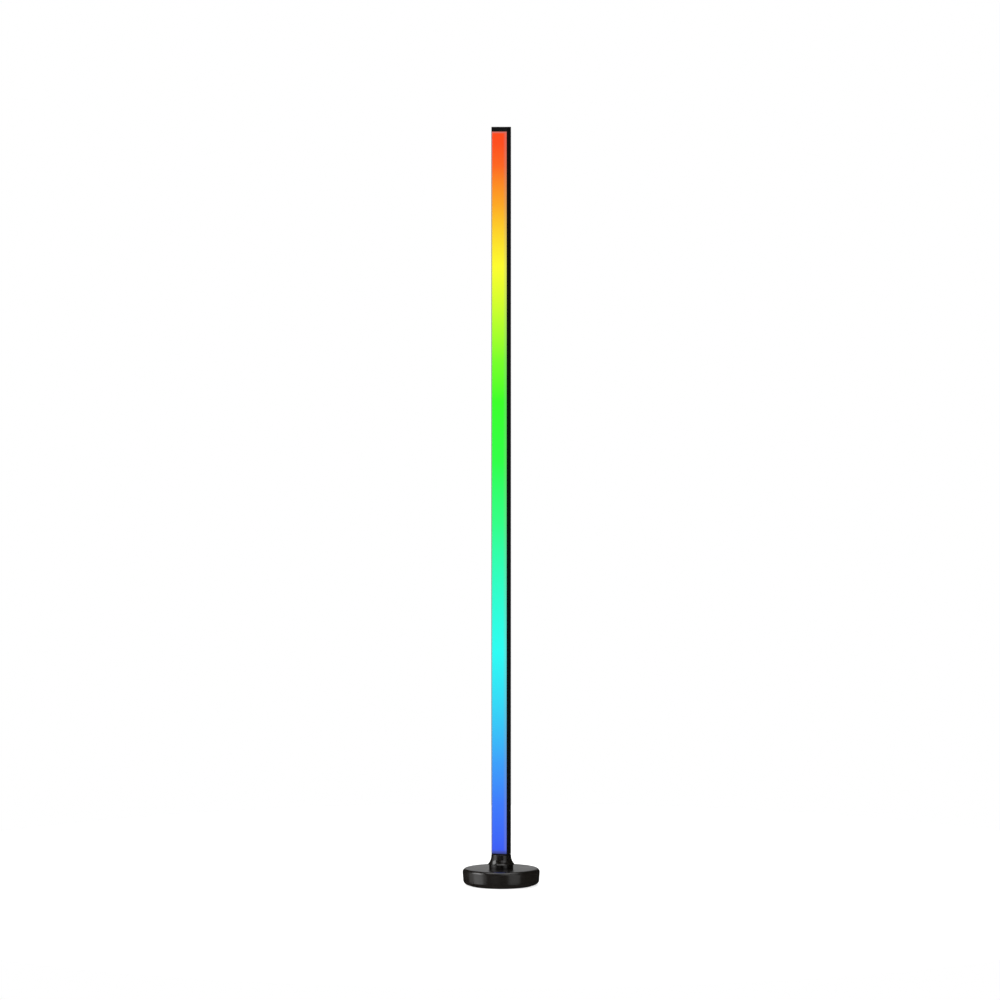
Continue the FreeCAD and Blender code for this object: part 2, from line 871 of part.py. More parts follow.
def make_lock_washer():
    """A split ring between nut and flat washer."""
    high = nut_top + s.lock_washer_height
    ring = rod("lock_ring", s.lock_washer_radius, nut_top, high)
    hole = rod("lock_hole", hole_radius, nut_top - BEYOND, high + BEYOND)
    slit_x = (0.0, s.lock_washer_radius + BEYOND)
    slit_y = (-s.lock_washer_slit / 2, s.lock_washer_slit / 2)
    slit = block("lock_slit", slit_x, slit_y, (nut_top - BEYOND, high + BEYOND))
    return cut("lock_washer", ring, hole, slit)


def make_flat_washer():
    low = nut_top + s.lock_washer_height
    ring = rod("washer_ring", s.washer_radius, low, nut_pocket_top)
    return cut("flat_washer", ring, rod("washer_hole", hole_radius, low - BEYOND, nut_pocket_top + BEYOND))


# ---------------------------------------------------------------- base


def post_centres():
    return on_circle(post_pitch, SCREW_POSTS)


def board_hole_centres():
    x = s.board_width / 2 - s.board_hole_inset
    front = board_front + s.board_hole_inset
    back = board_back - s.board_hole_inset
    return [(-x, front), (x, front), (-x, back), (x, back)]


def make_cover_shell():
    """The top moulding: flat top with a round edge, tapered side, and a hub over the weight."""
    low_out = low_radius
    low_in = low_out - s.cover_wall
    high_in = low_in + s.base_taper / 2
    outline = [
        (hole_radius, s.base_height),
        (hole_radius, weight_top),
        (s.hub_radius, weight_top),
        (s.hub_radius, cover_inside),
        (high_in - s.cover_wall, cover_inside),
        (high_in, cover_inside - s.cover_wall),
        (low_in, part_line),
        (low_out, part_line),
        (s.base_radius, s.base_height),
    ]
    shell = turned("cover_shell", outline)
    rim = s.base_radius.number
    wanted = lambda edge: near(edge.BoundBox.ZMin, s.base_height.number) and near(edge.BoundBox.XMax, rim)
    return round_edges(shell, "cover_shell_round", s.cover_edge, wanted)


def make_rear_panel():
    """A thick flat patch behind the side wall, below its round top edge, trimmed to the middle of
    the wall's thickness."""
    side = s.panel_width / 2 + s.cover_wall
    high = cover_inside - s.cover_wall
    patch = block("panel_patch", (-side, side), (panel_inside, s.base_radius), (part_line, high))
    around = doc.addObject("Part::Cone", "panel_trim")
    bind(around, "Radius1", low_radius - s.cover_wall / 2)
    bind(around, "Radius2", s.base_radius - s.cover_wall / 2)
    bind(around, "Height", s.base_height - part_line)
    move(around, 0.0, 0.0, part_line)
    return common("rear_panel", patch, around)


def make_base_cover():
    posts = []
    holes = []
    post_bottom = floor_top + s.tray_boss_height
    for number, (x, y) in enumerate(post_centres()):
        posts.append(rod("cover_post_%d" % number, s.post_radius, post_bottom, cover_inside + BEYOND, x, y))
        high = post_bottom + s.tray_screw_length
        holes.append(rod("cover_pilot_%d" % number, screw_pilot, post_bottom - BEYOND, high, x, y))
    pilot = s.small_screw_radius + s.thread_gap
    for number, (x, y) in enumerate(board_hole_centres()):
        name = "board_post_%d" % number
        posts.append(rod(name, s.board_post_radius, board_top, cover_inside + BEYOND, x, y))
        high = board_top + s.board_screw_length
        holes.append(rod("board_pilot_%d" % number, pilot, board_top - BEYOND, high, x, y))
    blank = fuse("cover_blank", make_cover_shell(), make_rear_panel(), *posts)
    side = s.panel_width / 2
    low = s.port_axis_height - s.panel_height / 2
    high = s.port_axis_height + s.panel_height / 2
    beyond = s.base_radius + BEYOND
    holes.append(block("panel_recess", (-side, side), (panel_face, beyond), (low, high)))
    inside = panel_inside - BEYOND
    port = s.inlet_port_radius
    button = s.button_radius + s.running_gap
    holes.append(rod_along_y("inlet_port", port, inside, beyond, -s.port_offset, s.port_axis_height))
    holes.append(rod_along_y("button_port", button, inside, beyond, s.port_offset, s.port_axis_height))
    return cut("base_cover", blank, *holes)


def make_base_tray():
    """The bottom moulding: a floor, a round bottom edge and a tongue that locates the cover."""
    side = low_radius
    tongue_out = side - s.cover_wall - s.slip_gap
    tongue_in = tongue_out - s.tongue_wall
    recess_top = s.pad_thickness
    recess = pad_radius + s.slip_gap
    outline = [
        (0.0, recess_top),
        (recess, recess_top),
        (recess, tray_bottom),
        (side - s.tray_edge, tray_bottom, s.tray_edge),
        (side, part_line),
        (tongue_out, part_line),
        (tongue_out, part_line + s.tongue_height),
        (tongue_in, part_line + s.tongue_height),
        (tongue_in, floor_top + s.tongue_wall),
        (tongue_in - s.tongue_wall, floor_top),
        (0.0, floor_top),
    ]
    bowl = turned("tray_bowl", outline)
    bosses = []
    holes = []
    boss_top = floor_top + s.tray_boss_height
    for number, (x, y) in enumerate(post_centres()):
        bosses.append(rod("tray_boss_%d" % number, s.tray_boss_radius, recess_top, boss_top, x, y))
        holes.append(rod("tray_hole_%d" % number, screw_hole, recess_top, boss_top + BEYOND, x, y))
        head = s.screw_head + s.slip_gap
        seat = recess_top + s.screw_head_height + s.slip_gap
        holes.append(rod("tray_sink_%d" % number, head, recess_top - BEYOND, seat, x, y))
    side = s.panel_width / 2 + s.cover_wall + s.running_gap
    notch_y = (panel_inside - s.tongue_wall - 2 * BEYOND, s.base_radius)
    notch = block("tongue_notch", (-side, side), notch_y, (part_line, part_line + s.tongue_height + BEYOND))
    return cut("base_tray", fuse("tray_blank", bowl, *bosses), notch, *holes)


def make_tray_screws():
    pieces = []
    seat = s.pad_thickness + s.screw_head_height + s.slip_gap
    for number, (x, y) in enumerate(post_centres()):
        name = "tray_screw_%d" % number
        one = screw(name, s.screw_radius, s.tray_screw_length, s.screw_head, s.screw_head_height)
        pieces.append(move(one, x, y, seat, UPSIDE_DOWN))
    return group("tray_screws", pieces)


def make_base_pad():
    return rod("base_pad", pad_radius, 0.0, s.pad_thickness)


def make_base_weight():
    """A steel disc with a flat for the electronics, a nut pocket and a groove for the lead."""
    disc = rod("weight_disc", weight_radius, weight_bottom, weight_top)
    reach = weight_radius + BEYOND
    low = weight_bottom - BEYOND
    high = weight_top + BEYOND
    flat = block("weight_flat_cut", (-reach, reach), (weight_flat, reach), (low, high))
    hole = rod("weight_hole", hole_radius, low, high)
    pocket = rod("weight_pocket", s.nut_pocket_radius, low, nut_pocket_top)
    side = s.groove_width / 2
    groove_top = weight_bottom + s.groove_depth
    groove = block("weight_groove", (-side, side), (0.0, reach), (low, groove_top))
    return cut("base_weight", disc, flat, hole, pocket, groove)


# ---------------------------------------------------------------- electronics, inlet and button


def make_controller_board():
    side = s.board_width / 2
    board = block("board_blank", (-side, side), (board_front, board_back), (board_bottom, board_top))
    holes = []
    for number, (x, y) in enumerate(board_hole_centres()):
        radius = s.small_screw_radius + s.slip_gap
        holes.append(rod("board_hole_%d" % number, radius, board_bottom - BEYOND, board_top + BEYOND, x, y))
    return cut("controller_board", board, *holes)


def make_board_screws():
    pieces = []
    length = s.board_screw_length + s.board_thickness - s.running_gap
    for number, (x, y) in enumerate(board_hole_centres()):
        name = "board_screw_%d" % number
        head_height = s.small_screw_head_height
        one = screw(name, s.small_screw_radius, length, s.small_screw_head, head_height)
        pieces.append(move(one, x, y, board_bottom, UPSIDE_DOWN))
    return group("board_screws", pieces)


def make_controller_chip():
    middle = (board_front + board_back) / 2
    side = s.chip_body / 2
    y = (middle - side, middle + side)
    return block("controller_chip", (-side, side), y, (board_top, board_top + s.chip_body_height))


def make_capacitors():
    """Two upright cans on the board, one each side of the lead's socket."""
    cans = []
    y = board_front + s.socket_depth
    high = board_top + s.capacitor_height
    x = s.socket_width / 2 + s.capacitor_radius + s.hole_gap
    for number, side in enumerate((-x, x)):
        cans.append(rod("capacitor_%d" % number, s.capacitor_radius, board_top, high, side, y))
    return group("capacitors", cans)


def socket_y():
    return (board_front, board_front + s.socket_depth)


def make_lead_socket():
    """The board's socket, open to the front for the lead's plug."""
    side = s.socket_width / 2
    front, back = socket_y()
    shell = block("socket_block", (-side, side), (front, back), (board_top, board_top + s.socket_height))
    inside = side - s.socket_wall
    low = board_top + s.socket_wall
    high = board_top + s.socket_height - s.socket_wall
    room = block("socket_room", (-inside, inside), (front - BEYOND, back - s.socket_wall), (low, high))
    return cut("lead_socket", shell, room)


def make_lead_plug():
    side = s.socket_width / 2 - s.socket_wall - s.slip_gap
    low = board_top + s.socket_wall + s.slip_gap
    high = board_top + s.socket_height - s.socket_wall - s.slip_gap
    front = board_front - s.plug_reach
    return block("lead_plug", (-side, side), (front, board_front + s.plug_grip), (low, high))


def make_dc_inlet():
    """A barrel socket on the board, its face flat against the inside of the rear panel."""
    side = s.jack_width / 2
    front = panel_inside
    x = (-s.port_offset - side, side - s.port_offset)
    body = block("inlet_block", x, (front - s.jack_depth, front), (board_top, board_top + s.jack_height))
    floor = front - s.jack_bore_depth
    bore = rod_along_y("inlet_bore", s.jack_bore, floor, front + BEYOND, -s.port_offset, s.port_axis_height)
    seat = s.jack_pin + s.thread_gap
    low = front - s.jack_depth - BEYOND
    hole = rod_along_y("inlet_pin_seat", seat, low, floor + BEYOND, -s.port_offset, s.port_axis_height)
    return cut("dc_inlet", body, bore, hole)


def make_dc_pin():
    """The inlet's middle pin, through the block's rear wall."""
    high = panel_inside - s.jack_pin_recess
    low = panel_inside - s.jack_depth
    return rod_along_y("dc_pin", s.jack_pin, low, high, -s.port_offset, s.port_axis_height)


def button_back():
    """The end of the button's stem, where it meets the switch's plunger."""
    return panel_inside - s.rest_gap - s.button_flange - s.button_stem_length


def switch_front():
    return button_back() - s.button_travel - s.slip_gap - s.plunger_inside


def make_tact_switch():
    """An upright switch on a foot, with a hole for its plunger."""
    side = s.switch_side / 2
    x = (s.port_offset - side, s.port_offset + side)
    front = switch_front()
    high = s.port_axis_height + side
    case = block("switch_block", x, (front - s.switch_depth, front), (board_top, high))
    radius = s.plunger_radius + s.running_gap
    low = front - s.plunger_inside - s.button_travel - s.slip_gap
    hole = rod_along_y("switch_hole", radius, low, front + BEYOND, s.port_offset, s.port_axis_height)
    return cut("tact_switch", case, hole)


def make_tact_plunger():
    low = switch_front() - s.plunger_inside
    x = s.port_offset
    return rod_along_y("tact_plunger", s.plunger_radius, low, button_back(), x, s.port_axis_height)


def make_mode_button():
    """A round push button: cap through the panel, flange behind it, and a stem to the switch."""
    face = panel_face + s.button_proud
    flange_front = panel_inside - s.rest_gap
    flange_back = flange_front - s.button_flange
    x = s.port_offset
    z = s.port_axis_height
    cap = rod_along_y("button_cap", s.button_radius, flange_back, face, x, z)
    wide = s.button_radius + s.button_flange_rise
    flange = rod_along_y("button_flange_disc", wide, flange_back, flange_front, x, z)
    stem = rod_along_y("button_stem_rod", s.button_stem, button_back(), flange_back + BEYOND, x, z)
    return fuse("mode_button", cap, flange, stem)


# ---------------------------------------------------------------- build, check and write


def make_all():
    pieces = [make_channel(label, number) for number, label in enumerate(SECTIONS, start=1)]
    pieces.append(make_joiner("joiner_lower", section_top(1)))
    pieces.append(make_joiner("joiner_upper", section_top(2)))
    makers = (
        make_joiner_screws,
        make_top_cap,
        make_column_foot,
        make_foot_screws,
        make_diffuser,
        make_strip_tape,
        make_led_strip,
        make_led_chips,
        make_strip_connector,
        make_strip_lead,
        make_neck,
        make_neck_collar,
        make_threaded_tube,
        make_tube_nut,
        make_lock_washer,
        make_flat_washer,
        make_base_cover,
        make_base_tray,
        make_tray_screws,
        make_base_pad,
        make_base_weight,
        make_controller_board,
        make_board_screws,
        make_controller_chip,
        make_capacitors,
        make_lead_socket,
        make_lead_plug,
        make_dc_inlet,
        make_dc_pin,
        make_tact_switch,
        make_tact_plunger,
        make_mode_button,
    )
    pieces += [make() for make in makers]
    return pieces


def check(pieces):
    """Every feature is up to date, and every sub-part is a valid shape with solids."""
    for feature in doc.Objects:
        if "Invalid" in feature.State or "Error" in feature.State:
            raise RuntimeError("%s did not build" % feature.Label)
    for piece in pieces:
        if piece.Shape.isNull() or not piece.Shape.isValid() or not piece.Shape.Solids:
            raise RuntimeError("%s has no valid solid" % piece.Label)


def main():
    pieces = make_all()
    doc.recompute()
    check(pieces)
    os.makedirs("parts", exist_ok=True)
    for piece in pieces:
        piece.Shape.exportStep("parts/%s.step" % piece.Label)
        print("%s: %d solids, %.0f mm3" % (piece.Label, len(piece.Shape.Solids), piece.Shape.Volume))


main()
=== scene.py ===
# %% [markdown]
# # A corner floor lamp, dressed around its construction model
# The lamp is a square black aluminium column, 1.42 m tall, with a lit front that runs through the
# colours of the rainbow. It stands on a flared neck and a round, weighted base. The construction
# model gives each piece its real size and place. This lesson gives the pieces that can be seen their
# finished surfaces: turned mouldings without facets, broken edges, and finishes that react to light
# as the real ones do.

# %% Load the construction model
import json
import math

import bmesh
import bpy
import numpy as np
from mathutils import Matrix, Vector

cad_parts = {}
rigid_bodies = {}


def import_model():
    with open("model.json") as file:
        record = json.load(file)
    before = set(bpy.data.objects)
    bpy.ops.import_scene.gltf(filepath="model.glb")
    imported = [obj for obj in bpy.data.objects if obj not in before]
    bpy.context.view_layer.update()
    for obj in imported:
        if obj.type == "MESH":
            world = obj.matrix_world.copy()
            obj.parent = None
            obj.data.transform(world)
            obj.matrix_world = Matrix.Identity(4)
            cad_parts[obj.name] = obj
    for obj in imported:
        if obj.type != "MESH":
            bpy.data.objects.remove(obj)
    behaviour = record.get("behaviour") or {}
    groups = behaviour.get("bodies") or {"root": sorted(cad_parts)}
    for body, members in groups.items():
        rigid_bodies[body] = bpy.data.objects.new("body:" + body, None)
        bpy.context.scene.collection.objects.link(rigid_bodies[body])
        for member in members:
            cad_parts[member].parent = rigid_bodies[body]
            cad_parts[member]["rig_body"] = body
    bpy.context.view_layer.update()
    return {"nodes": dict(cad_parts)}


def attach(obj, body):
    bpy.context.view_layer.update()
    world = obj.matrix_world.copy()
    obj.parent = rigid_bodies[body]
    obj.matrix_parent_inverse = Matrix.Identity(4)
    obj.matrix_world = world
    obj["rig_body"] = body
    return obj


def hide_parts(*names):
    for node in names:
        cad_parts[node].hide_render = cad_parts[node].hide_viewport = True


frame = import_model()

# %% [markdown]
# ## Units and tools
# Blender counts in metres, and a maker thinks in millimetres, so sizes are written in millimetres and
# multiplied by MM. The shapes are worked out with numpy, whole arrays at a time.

MM = 0.001
nodes = frame["nodes"]

# %% [markdown]
# ## The camera
# The picture was taken from eleven metres away with a long lens, from the height of the lamp's top and
# a little to its right. That is why the top edge is a level line and the flat top of the base a
# narrow ellipse. From so far the view is tilted down by less than four degrees, so upright edges stay
# upright. The frame is square, so one number gives the width of a pixel at the lamp.

# %% Place the camera
PICTURE_SIDE = 1000
LENS, SENSOR = 210.0, 36.0
CAMERA_DISTANCE = 10.88
CAMERA_HEIGHT = 1.42
AIM_HEIGHT = 0.7239
CAMERA_AZIMUTH = math.radians(15)
AXIS_PIXEL = 501.2  # where the lamp's axis stands across the picture


def direction(azimuth):
    """The level direction from the lamp to azimuth, in radians: 0 is -Y, in front of the lit face."""
    return Vector((math.sin(azimuth), -math.cos(azimuth), 0))


pixel = CAMERA_DISTANCE * SENSOR / LENS / PICTURE_SIDE
camera_data = bpy.data.cameras.new("camera")
camera_data.lens, camera_data.sensor_width = LENS, SENSOR
camera_data.clip_end = 2 * CAMERA_DISTANCE
camera = bpy.data.objects.new("camera", camera_data)
bpy.context.collection.objects.link(camera)
camera.location = direction(CAMERA_AZIMUTH) * CAMERA_DISTANCE
camera.location -= direction(CAMERA_AZIMUTH + math.pi / 2) * pixel * (AXIS_PIXEL - PICTURE_SIDE / 2)
camera.location.z = CAMERA_HEIGHT
tilt = math.atan((CAMERA_HEIGHT - AIM_HEIGHT) / CAMERA_DISTANCE)
camera.rotation_euler = (math.pi / 2 - tilt, 0, CAMERA_AZIMUTH)
bpy.context.scene.camera = camera
print("one pixel at the lamp is %.2f mm" % (pixel / MM))

# %% [markdown]
# ## The studio
# Glossy black shows little but what it reflects, so the lights are placed for their reflections. On
# the left, a softbox with a dimmer, wider one round it draws the soft band down the base, and a
# stronger one above them the streak that grows brighter towards the foot of the neck. A weaker one on
# the right answers them, a faint card in front lifts the middle, and a high panel in front draws a
# thin line along the round edge of the base. A dim card behind the lamp is what the flat top of the
# base mirrors, because the camera sees that top at a low, shiny angle. It is narrow, so that the
# column's dark side doesn't catch it too. A panel overhead lights the floor and the round edge of the
# base. The room itself is dark to reflections and white to the camera, as in a studio with a white
# sweep.

# %% Hang the lights
GLOW_OF_ROOM = 0.016
OVERHEAD_HEIGHT, OVERHEAD_SIDE, OVERHEAD_BRIGHTNESS = 2.7, 2.4, 1.8
SOFTBOXES = [
    # name, azimuth in degrees, then in metres distance, low end, high end and width, and brightness
    ("left_strip", -73, 1.7, -0.8, 1.0, 1.0, 1.0),
    ("left_surround", -78, 2.0, -0.8, 1.0, 2.6, 0.55),
    ("left_panel", -86, 1.9, 0.9, 2.4, 1.3, 4.5),
    ("right_strip", 40, 1.9, -0.8, 1.9, 1.2, 0.72),
    ("front_card", -18, 2.2, -0.8, 0.9, 1.0, 0.14),
    ("front_panel", 22, 1.9, 1.3, 2.2, 1.9, 1.0),
    ("back_card", 180, 2.2, -0.1, 1.3, 1.0, 0.38),
]


def softbox(name, azimuth, distance, low, high, width, brightness):
    """An upright light panel that faces the lamp, at an azimuth in degrees from the camera.
    Its power is brightness times pi times its area, so brightness is what a mirror would show."""
    data = bpy.data.lights.new(name, "AREA")
    data.shape, data.size, data.size_y = "RECTANGLE", width, high - low
    data.energy = brightness * math.pi * width * (high - low)
    light = bpy.data.objects.new(name, data)
    bpy.context.collection.objects.link(light)
    light.location = direction(CAMERA_AZIMUTH + math.radians(azimuth)) * distance
    light.location.z = (low + high) / 2
    light.rotation_euler = (math.pi / 2, 0, CAMERA_AZIMUTH + math.radians(azimuth))
    light.visible_camera = False
    return light


for softbox_row in SOFTBOXES:
    softbox(*softbox_row)
overhead = softbox("overhead", 0, 0, 0, OVERHEAD_SIDE, OVERHEAD_SIDE, OVERHEAD_BRIGHTNESS)
overhead.location.z = OVERHEAD_HEIGHT
overhead.rotation_euler = (0, 0, 0)
print("hung", len(SOFTBOXES), "softboxes and one panel overhead")

# %% [markdown]
# ## The white room
# To the camera the room is pure white. To every other ray it is nearly black, which a Light Path node
# tells apart. The Standard view shows colours as they are mixed, with no film-like curve.

# %% Paint the room
world = bpy.data.worlds.new("white_sweep")
world.use_nodes = True
bpy.context.scene.world = world
backdrop = world.node_tree.nodes["Background"]
backdrop.inputs["Color"].default_value = (1, 1, 1, 1)
seen = world.node_tree.nodes.new("ShaderNodeLightPath")
level = world.node_tree.nodes.new("ShaderNodeMapRange")
level.inputs["To Min"].default_value = GLOW_OF_ROOM
level.inputs["To Max"].default_value = 1.0
world.node_tree.links.new(seen.outputs["Is Camera Ray"], level.inputs["Value"])
world.node_tree.links.new(level.outputs["Result"], backdrop.inputs["Strength"])
bpy.context.scene.view_settings.view_transform = "Standard"

# %% [markdown]
# ## Colours and nodes
# Colours are written as on a paint chart, in sRGB hex, and a shader wants them linear. Every material
# below is made of the same few kinds of node, so one small function adds a node, sets it up and
# joins it.

# %% Write the two helpers for materials
SRGB_KNEE = 0.04045


def linear(chart_colour):
    """sRGB hex text as linear red, green, blue and alpha. A channel c becomes c / 12.92 below the
    knee, and ((c + 0.055) / 1.055) to the power 2.4 above it."""
    srgb = np.array([int(chart_colour[at:at + 2], 16) for at in (1, 3, 5)]) / 255
    curved = ((srgb + 0.055) / 1.055) ** 2.4
    return (*np.where(srgb < SRGB_KNEE, srgb / 12.92, curved), 1.0)


def add(tree, kind, inputs=None, **settings):
    """Adds one node: settings are its own properties, and each input, by name or place, is joined
    to an output or given a value."""
    node = tree.nodes.new("ShaderNode" + kind)
    for name, value in settings.items():
        setattr(node, name, value)
    for name, value in (inputs or {}).items():
        if isinstance(value, bpy.types.NodeSocket):
            tree.links.new(value, node.inputs[name])
        else:
            node.inputs[name].default_value = value
    return node


def start_material(name, colour, roughness, metallic=0.0, ior=1.5):
    """A material whose plain values sit on the shader's own sockets, its tree and its shader."""
    material = bpy.data.materials.new(name)
    material.use_nodes = True
    shader = material.node_tree.nodes["Principled BSDF"]
    shader.inputs["Base Color"].default_value = linear(colour)
    shader.inputs["Roughness"].default_value = roughness
    shader.inputs["Metallic"].default_value = metallic
    shader.inputs["IOR"].default_value = ior
    return material, material.node_tree, shader


# %% [markdown]
# ## The floor
# The floor is a round sheet of white acrylic that is lit from below a little, as a product table is.
# The overhead panel does the rest, so the sheet comes out white and the base still has a faint
# shadow where it meets it. It stays out of reflections, as a real table's dark surround would.

# %% Lay the floor
FLOOR_RADIUS = 1.3
FLOOR_GLOW = 0.8
MOST_TURNS = 96


def lay_floor():
    """A flat disc: the points r cos t, r sin t, 0 of one circle, filled."""
    turn = np.linspace(0, 2 * np.pi, MOST_TURNS, endpoint=False)
    rim = np.stack([np.cos(turn), np.sin(turn), 0 * turn], 1) * FLOOR_RADIUS
    mesh = bpy.data.meshes.new("floor")
    mesh.from_pydata(rim.tolist(), [], [list(range(MOST_TURNS))])
    floor = bpy.data.objects.new("floor", mesh)
    bpy.context.collection.objects.link(floor)
    material, _, shader = start_material("white_acrylic_sheet", "#F0F0EE", 0.6, ior=1.49)
    shader.inputs["Emission Color"].default_value = (1, 1, 1, 1)
    shader.inputs["Emission Strength"].default_value = FLOOR_GLOW
    mesh.materials.append(material)
    floor.visible_glossy = False
    print("laid a floor %.1f m across" % (2 * FLOOR_RADIUS))


lay_floor()

# %% [markdown]
# ## Turned shapes
# The base, the collar, the neck, the button and the foam pad are all round. A lathe makes them from a
# half outline: each point of it, at a distance r from the axis and a height z, is carried round the
# axis in small equal turns. The construction model's own round faces are flat facets, which gloss
# shows at once, so these pieces are turned again here with a fine step, and their sharp corners get
# the small rounds that every mould leaves.

# %% Write the lathe
TURNS = 256
ROUND_STEPS = 12
CREASE = math.radians(9)  # above a round's own step, so only real edges stay sharp
MERGE = 1e-6


def rounded(corners):
    """A closed outline from corners (x, y, radius) in millimetres, as an array of x and y in metres.
    Each corner with a radius becomes an arc that touches both its edges: its centre lies on the
    bisector at radius / cos(turn / 2), and it starts radius * tan(turn / 2) before the corner."""
    at = [complex(x, y) for x, y, radius in corners]
    runs = []
    for index, (x, y, radius) in enumerate(corners):
        back = at[index - 1] - at[index]
        ahead = at[(index + 1) % len(at)] - at[index]
        if not radius:
            runs.append(at[index:index + 1])
            continue
        back, ahead = back / abs(back), ahead / abs(ahead)
        turn = np.angle(-ahead / back)
        centre = at[index] + (back + ahead) / abs(back + ahead) * radius / math.cos(turn / 2)
        start = at[index] + back * radius * math.tan(abs(turn) / 2)
        share = np.linspace(0, 1, ROUND_STEPS + 1)
        runs.append(centre + (start - centre) * np.exp(1j * turn * share))
    points = np.concatenate(runs) * MM
    return np.stack([points.real, points.imag], 1)


def finished_mesh(name, points, faces):
    """A mesh with its doubles merged, its faces outwards, and its real edges marked sharp."""
    mesh = bpy.data.meshes.new(name)
    mesh.from_pydata(points.tolist(), [], faces.tolist())
    work = bmesh.new()
    work.from_mesh(mesh)
    bmesh.ops.remove_doubles(work, verts=work.verts, dist=MERGE)
    bmesh.ops.dissolve_degenerate(work, edges=work.edges, dist=MERGE)
    bmesh.ops.recalc_face_normals(work, faces=work.faces)
    work.to_mesh(mesh)
    work.free()
    mesh.shade_smooth()
    mesh.set_sharp_from_angle(angle=CREASE)
    return mesh


def placed(name, mesh):
    """An object for a mesh, at the origin."""
    piece = bpy.data.objects.new(name, mesh)
    bpy.context.collection.objects.link(piece)
    return piece


def turned(name, outline, axis="z", centre=(0, 0), turns=TURNS, reshape=None):
    """Carries a closed outline of (r, height) round an axis. Point i of the outline at turn t lands
    at r cos t, r sin t and its height. For a piece that lies along Y, height becomes y, and centre
    gives its x and z. Reshape may change the array of points before the faces are made."""
    turn = np.linspace(0, 2 * np.pi, turns, endpoint=False)
    across = outline[:, :1] * np.cos(turn) + centre[0] * MM
    over = outline[:, :1] * np.sin(turn) + centre[1] * MM
    along = np.broadcast_to(outline[:, 1:], across.shape)
    order = (across, over, along) if axis == "z" else (across, along, over)
    points = np.stack(order, 2)
    if reshape is not None:
        points = reshape(points)
    row, column = np.meshgrid(np.arange(len(outline)), np.arange(turns), indexing="ij")
    next_row, next_column = (row + 1) % len(outline), (column + 1) % turns
    corners = [row * turns + column, next_row * turns + column]
    corners += [next_row * turns + next_column, row * turns + next_column]
    faces = np.stack(corners, 2).reshape(-1, 4)
    return placed(name, finished_mesh(name, points.reshape(-1, 3), faces))


# %% [markdown]
# ## Carving
# A moulding also has posts, bosses and holes. Each is a simple closed shape that is joined to the
# turned one or cut out of it. Blender's boolean for closed shapes does that, and its result is stored
# as the piece's own mesh, so nothing is left to follow it.

# %% Write the carving helpers
POST_TURNS = 48


def carve(piece, operation, tools):
    """Joins tools to a piece (UNION) or cuts them out of it (DIFFERENCE), and removes the tools."""
    shelf = bpy.data.collections.new("tools")
    for tool in tools:
        shelf.objects.link(tool)
    change = piece.modifiers.new("carve", "BOOLEAN")
    change.operation, change.solver = operation, "MANIFOLD"
    change.operand_type, change.collection = "COLLECTION", shelf
    made = piece.evaluated_get(bpy.context.evaluated_depsgraph_get())
    mesh = bpy.data.meshes.new_from_object(made)
    piece.modifiers.clear()
    mesh.materials.clear()
    piece.data = mesh
    mesh.shade_smooth()
    mesh.set_sharp_from_angle(angle=CREASE)
    for tool in tools:
        bpy.data.objects.remove(tool)
    bpy.data.collections.remove(shelf)


def peg(x, y, radius, low, high, axis="z", chamfer=0.0):
    """A closed cylinder between two heights, with its far end flared outwards by a chamfer."""
    corners = [(0, low, 0), (radius, low, 0), (radius, high - chamfer, 0)]
    corners += [(radius + chamfer, high, 0), (0, high, 0)]
    return turned("peg", rounded(corners), axis, (x, y), POST_TURNS)


def bar(x, y, z):
    """A closed box between two values on each axis."""
    low, high = np.array([x, y, z]).T * MM
    pick = np.array([[a, b, c] for a in (0, 1) for b in (0, 1) for c in (0, 1)])
    faces = np.array([[0, 1, 3, 2], [4, 6, 7, 5], [0, 4, 5, 1], [2, 3, 7, 6], [0, 2, 6, 4], [1, 5, 7, 3]])
    return placed("bar", finished_mesh("bar", low + (high - low) * pick, faces))


def dress(piece, node, slot, *materials):
    """Lets a finished piece stand for a node: same body and its materials. The slot is not used."""
    for material in materials:
        piece.data.materials.append(material)
    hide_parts(node)
    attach(piece, nodes[node]["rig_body"])
    faces = len(piece.data.polygons)
    print("%s stands for %s with %d faces" % (piece.name, node, faces))


# %% [markdown]
# ## Polished ABS
# The base cover, the collar and the neck are injection moulded in black ABS, against mirror-polished
# steel. The plastic is black all through, so there is no colour to paint: its look is a sharp
# reflection, broken by three faint things. The surface waves slightly where it cooled, on a scale of
# a few millimetres. Cloths leave hair-fine scratches. And fingers leave patches that are a
# little less shiny. The scratches are thinner than a pixel, so they are drawn half a millimetre
# apart, as coarse as a close view needs.

# %% Make polished ABS
ABS_IOR = 1.54


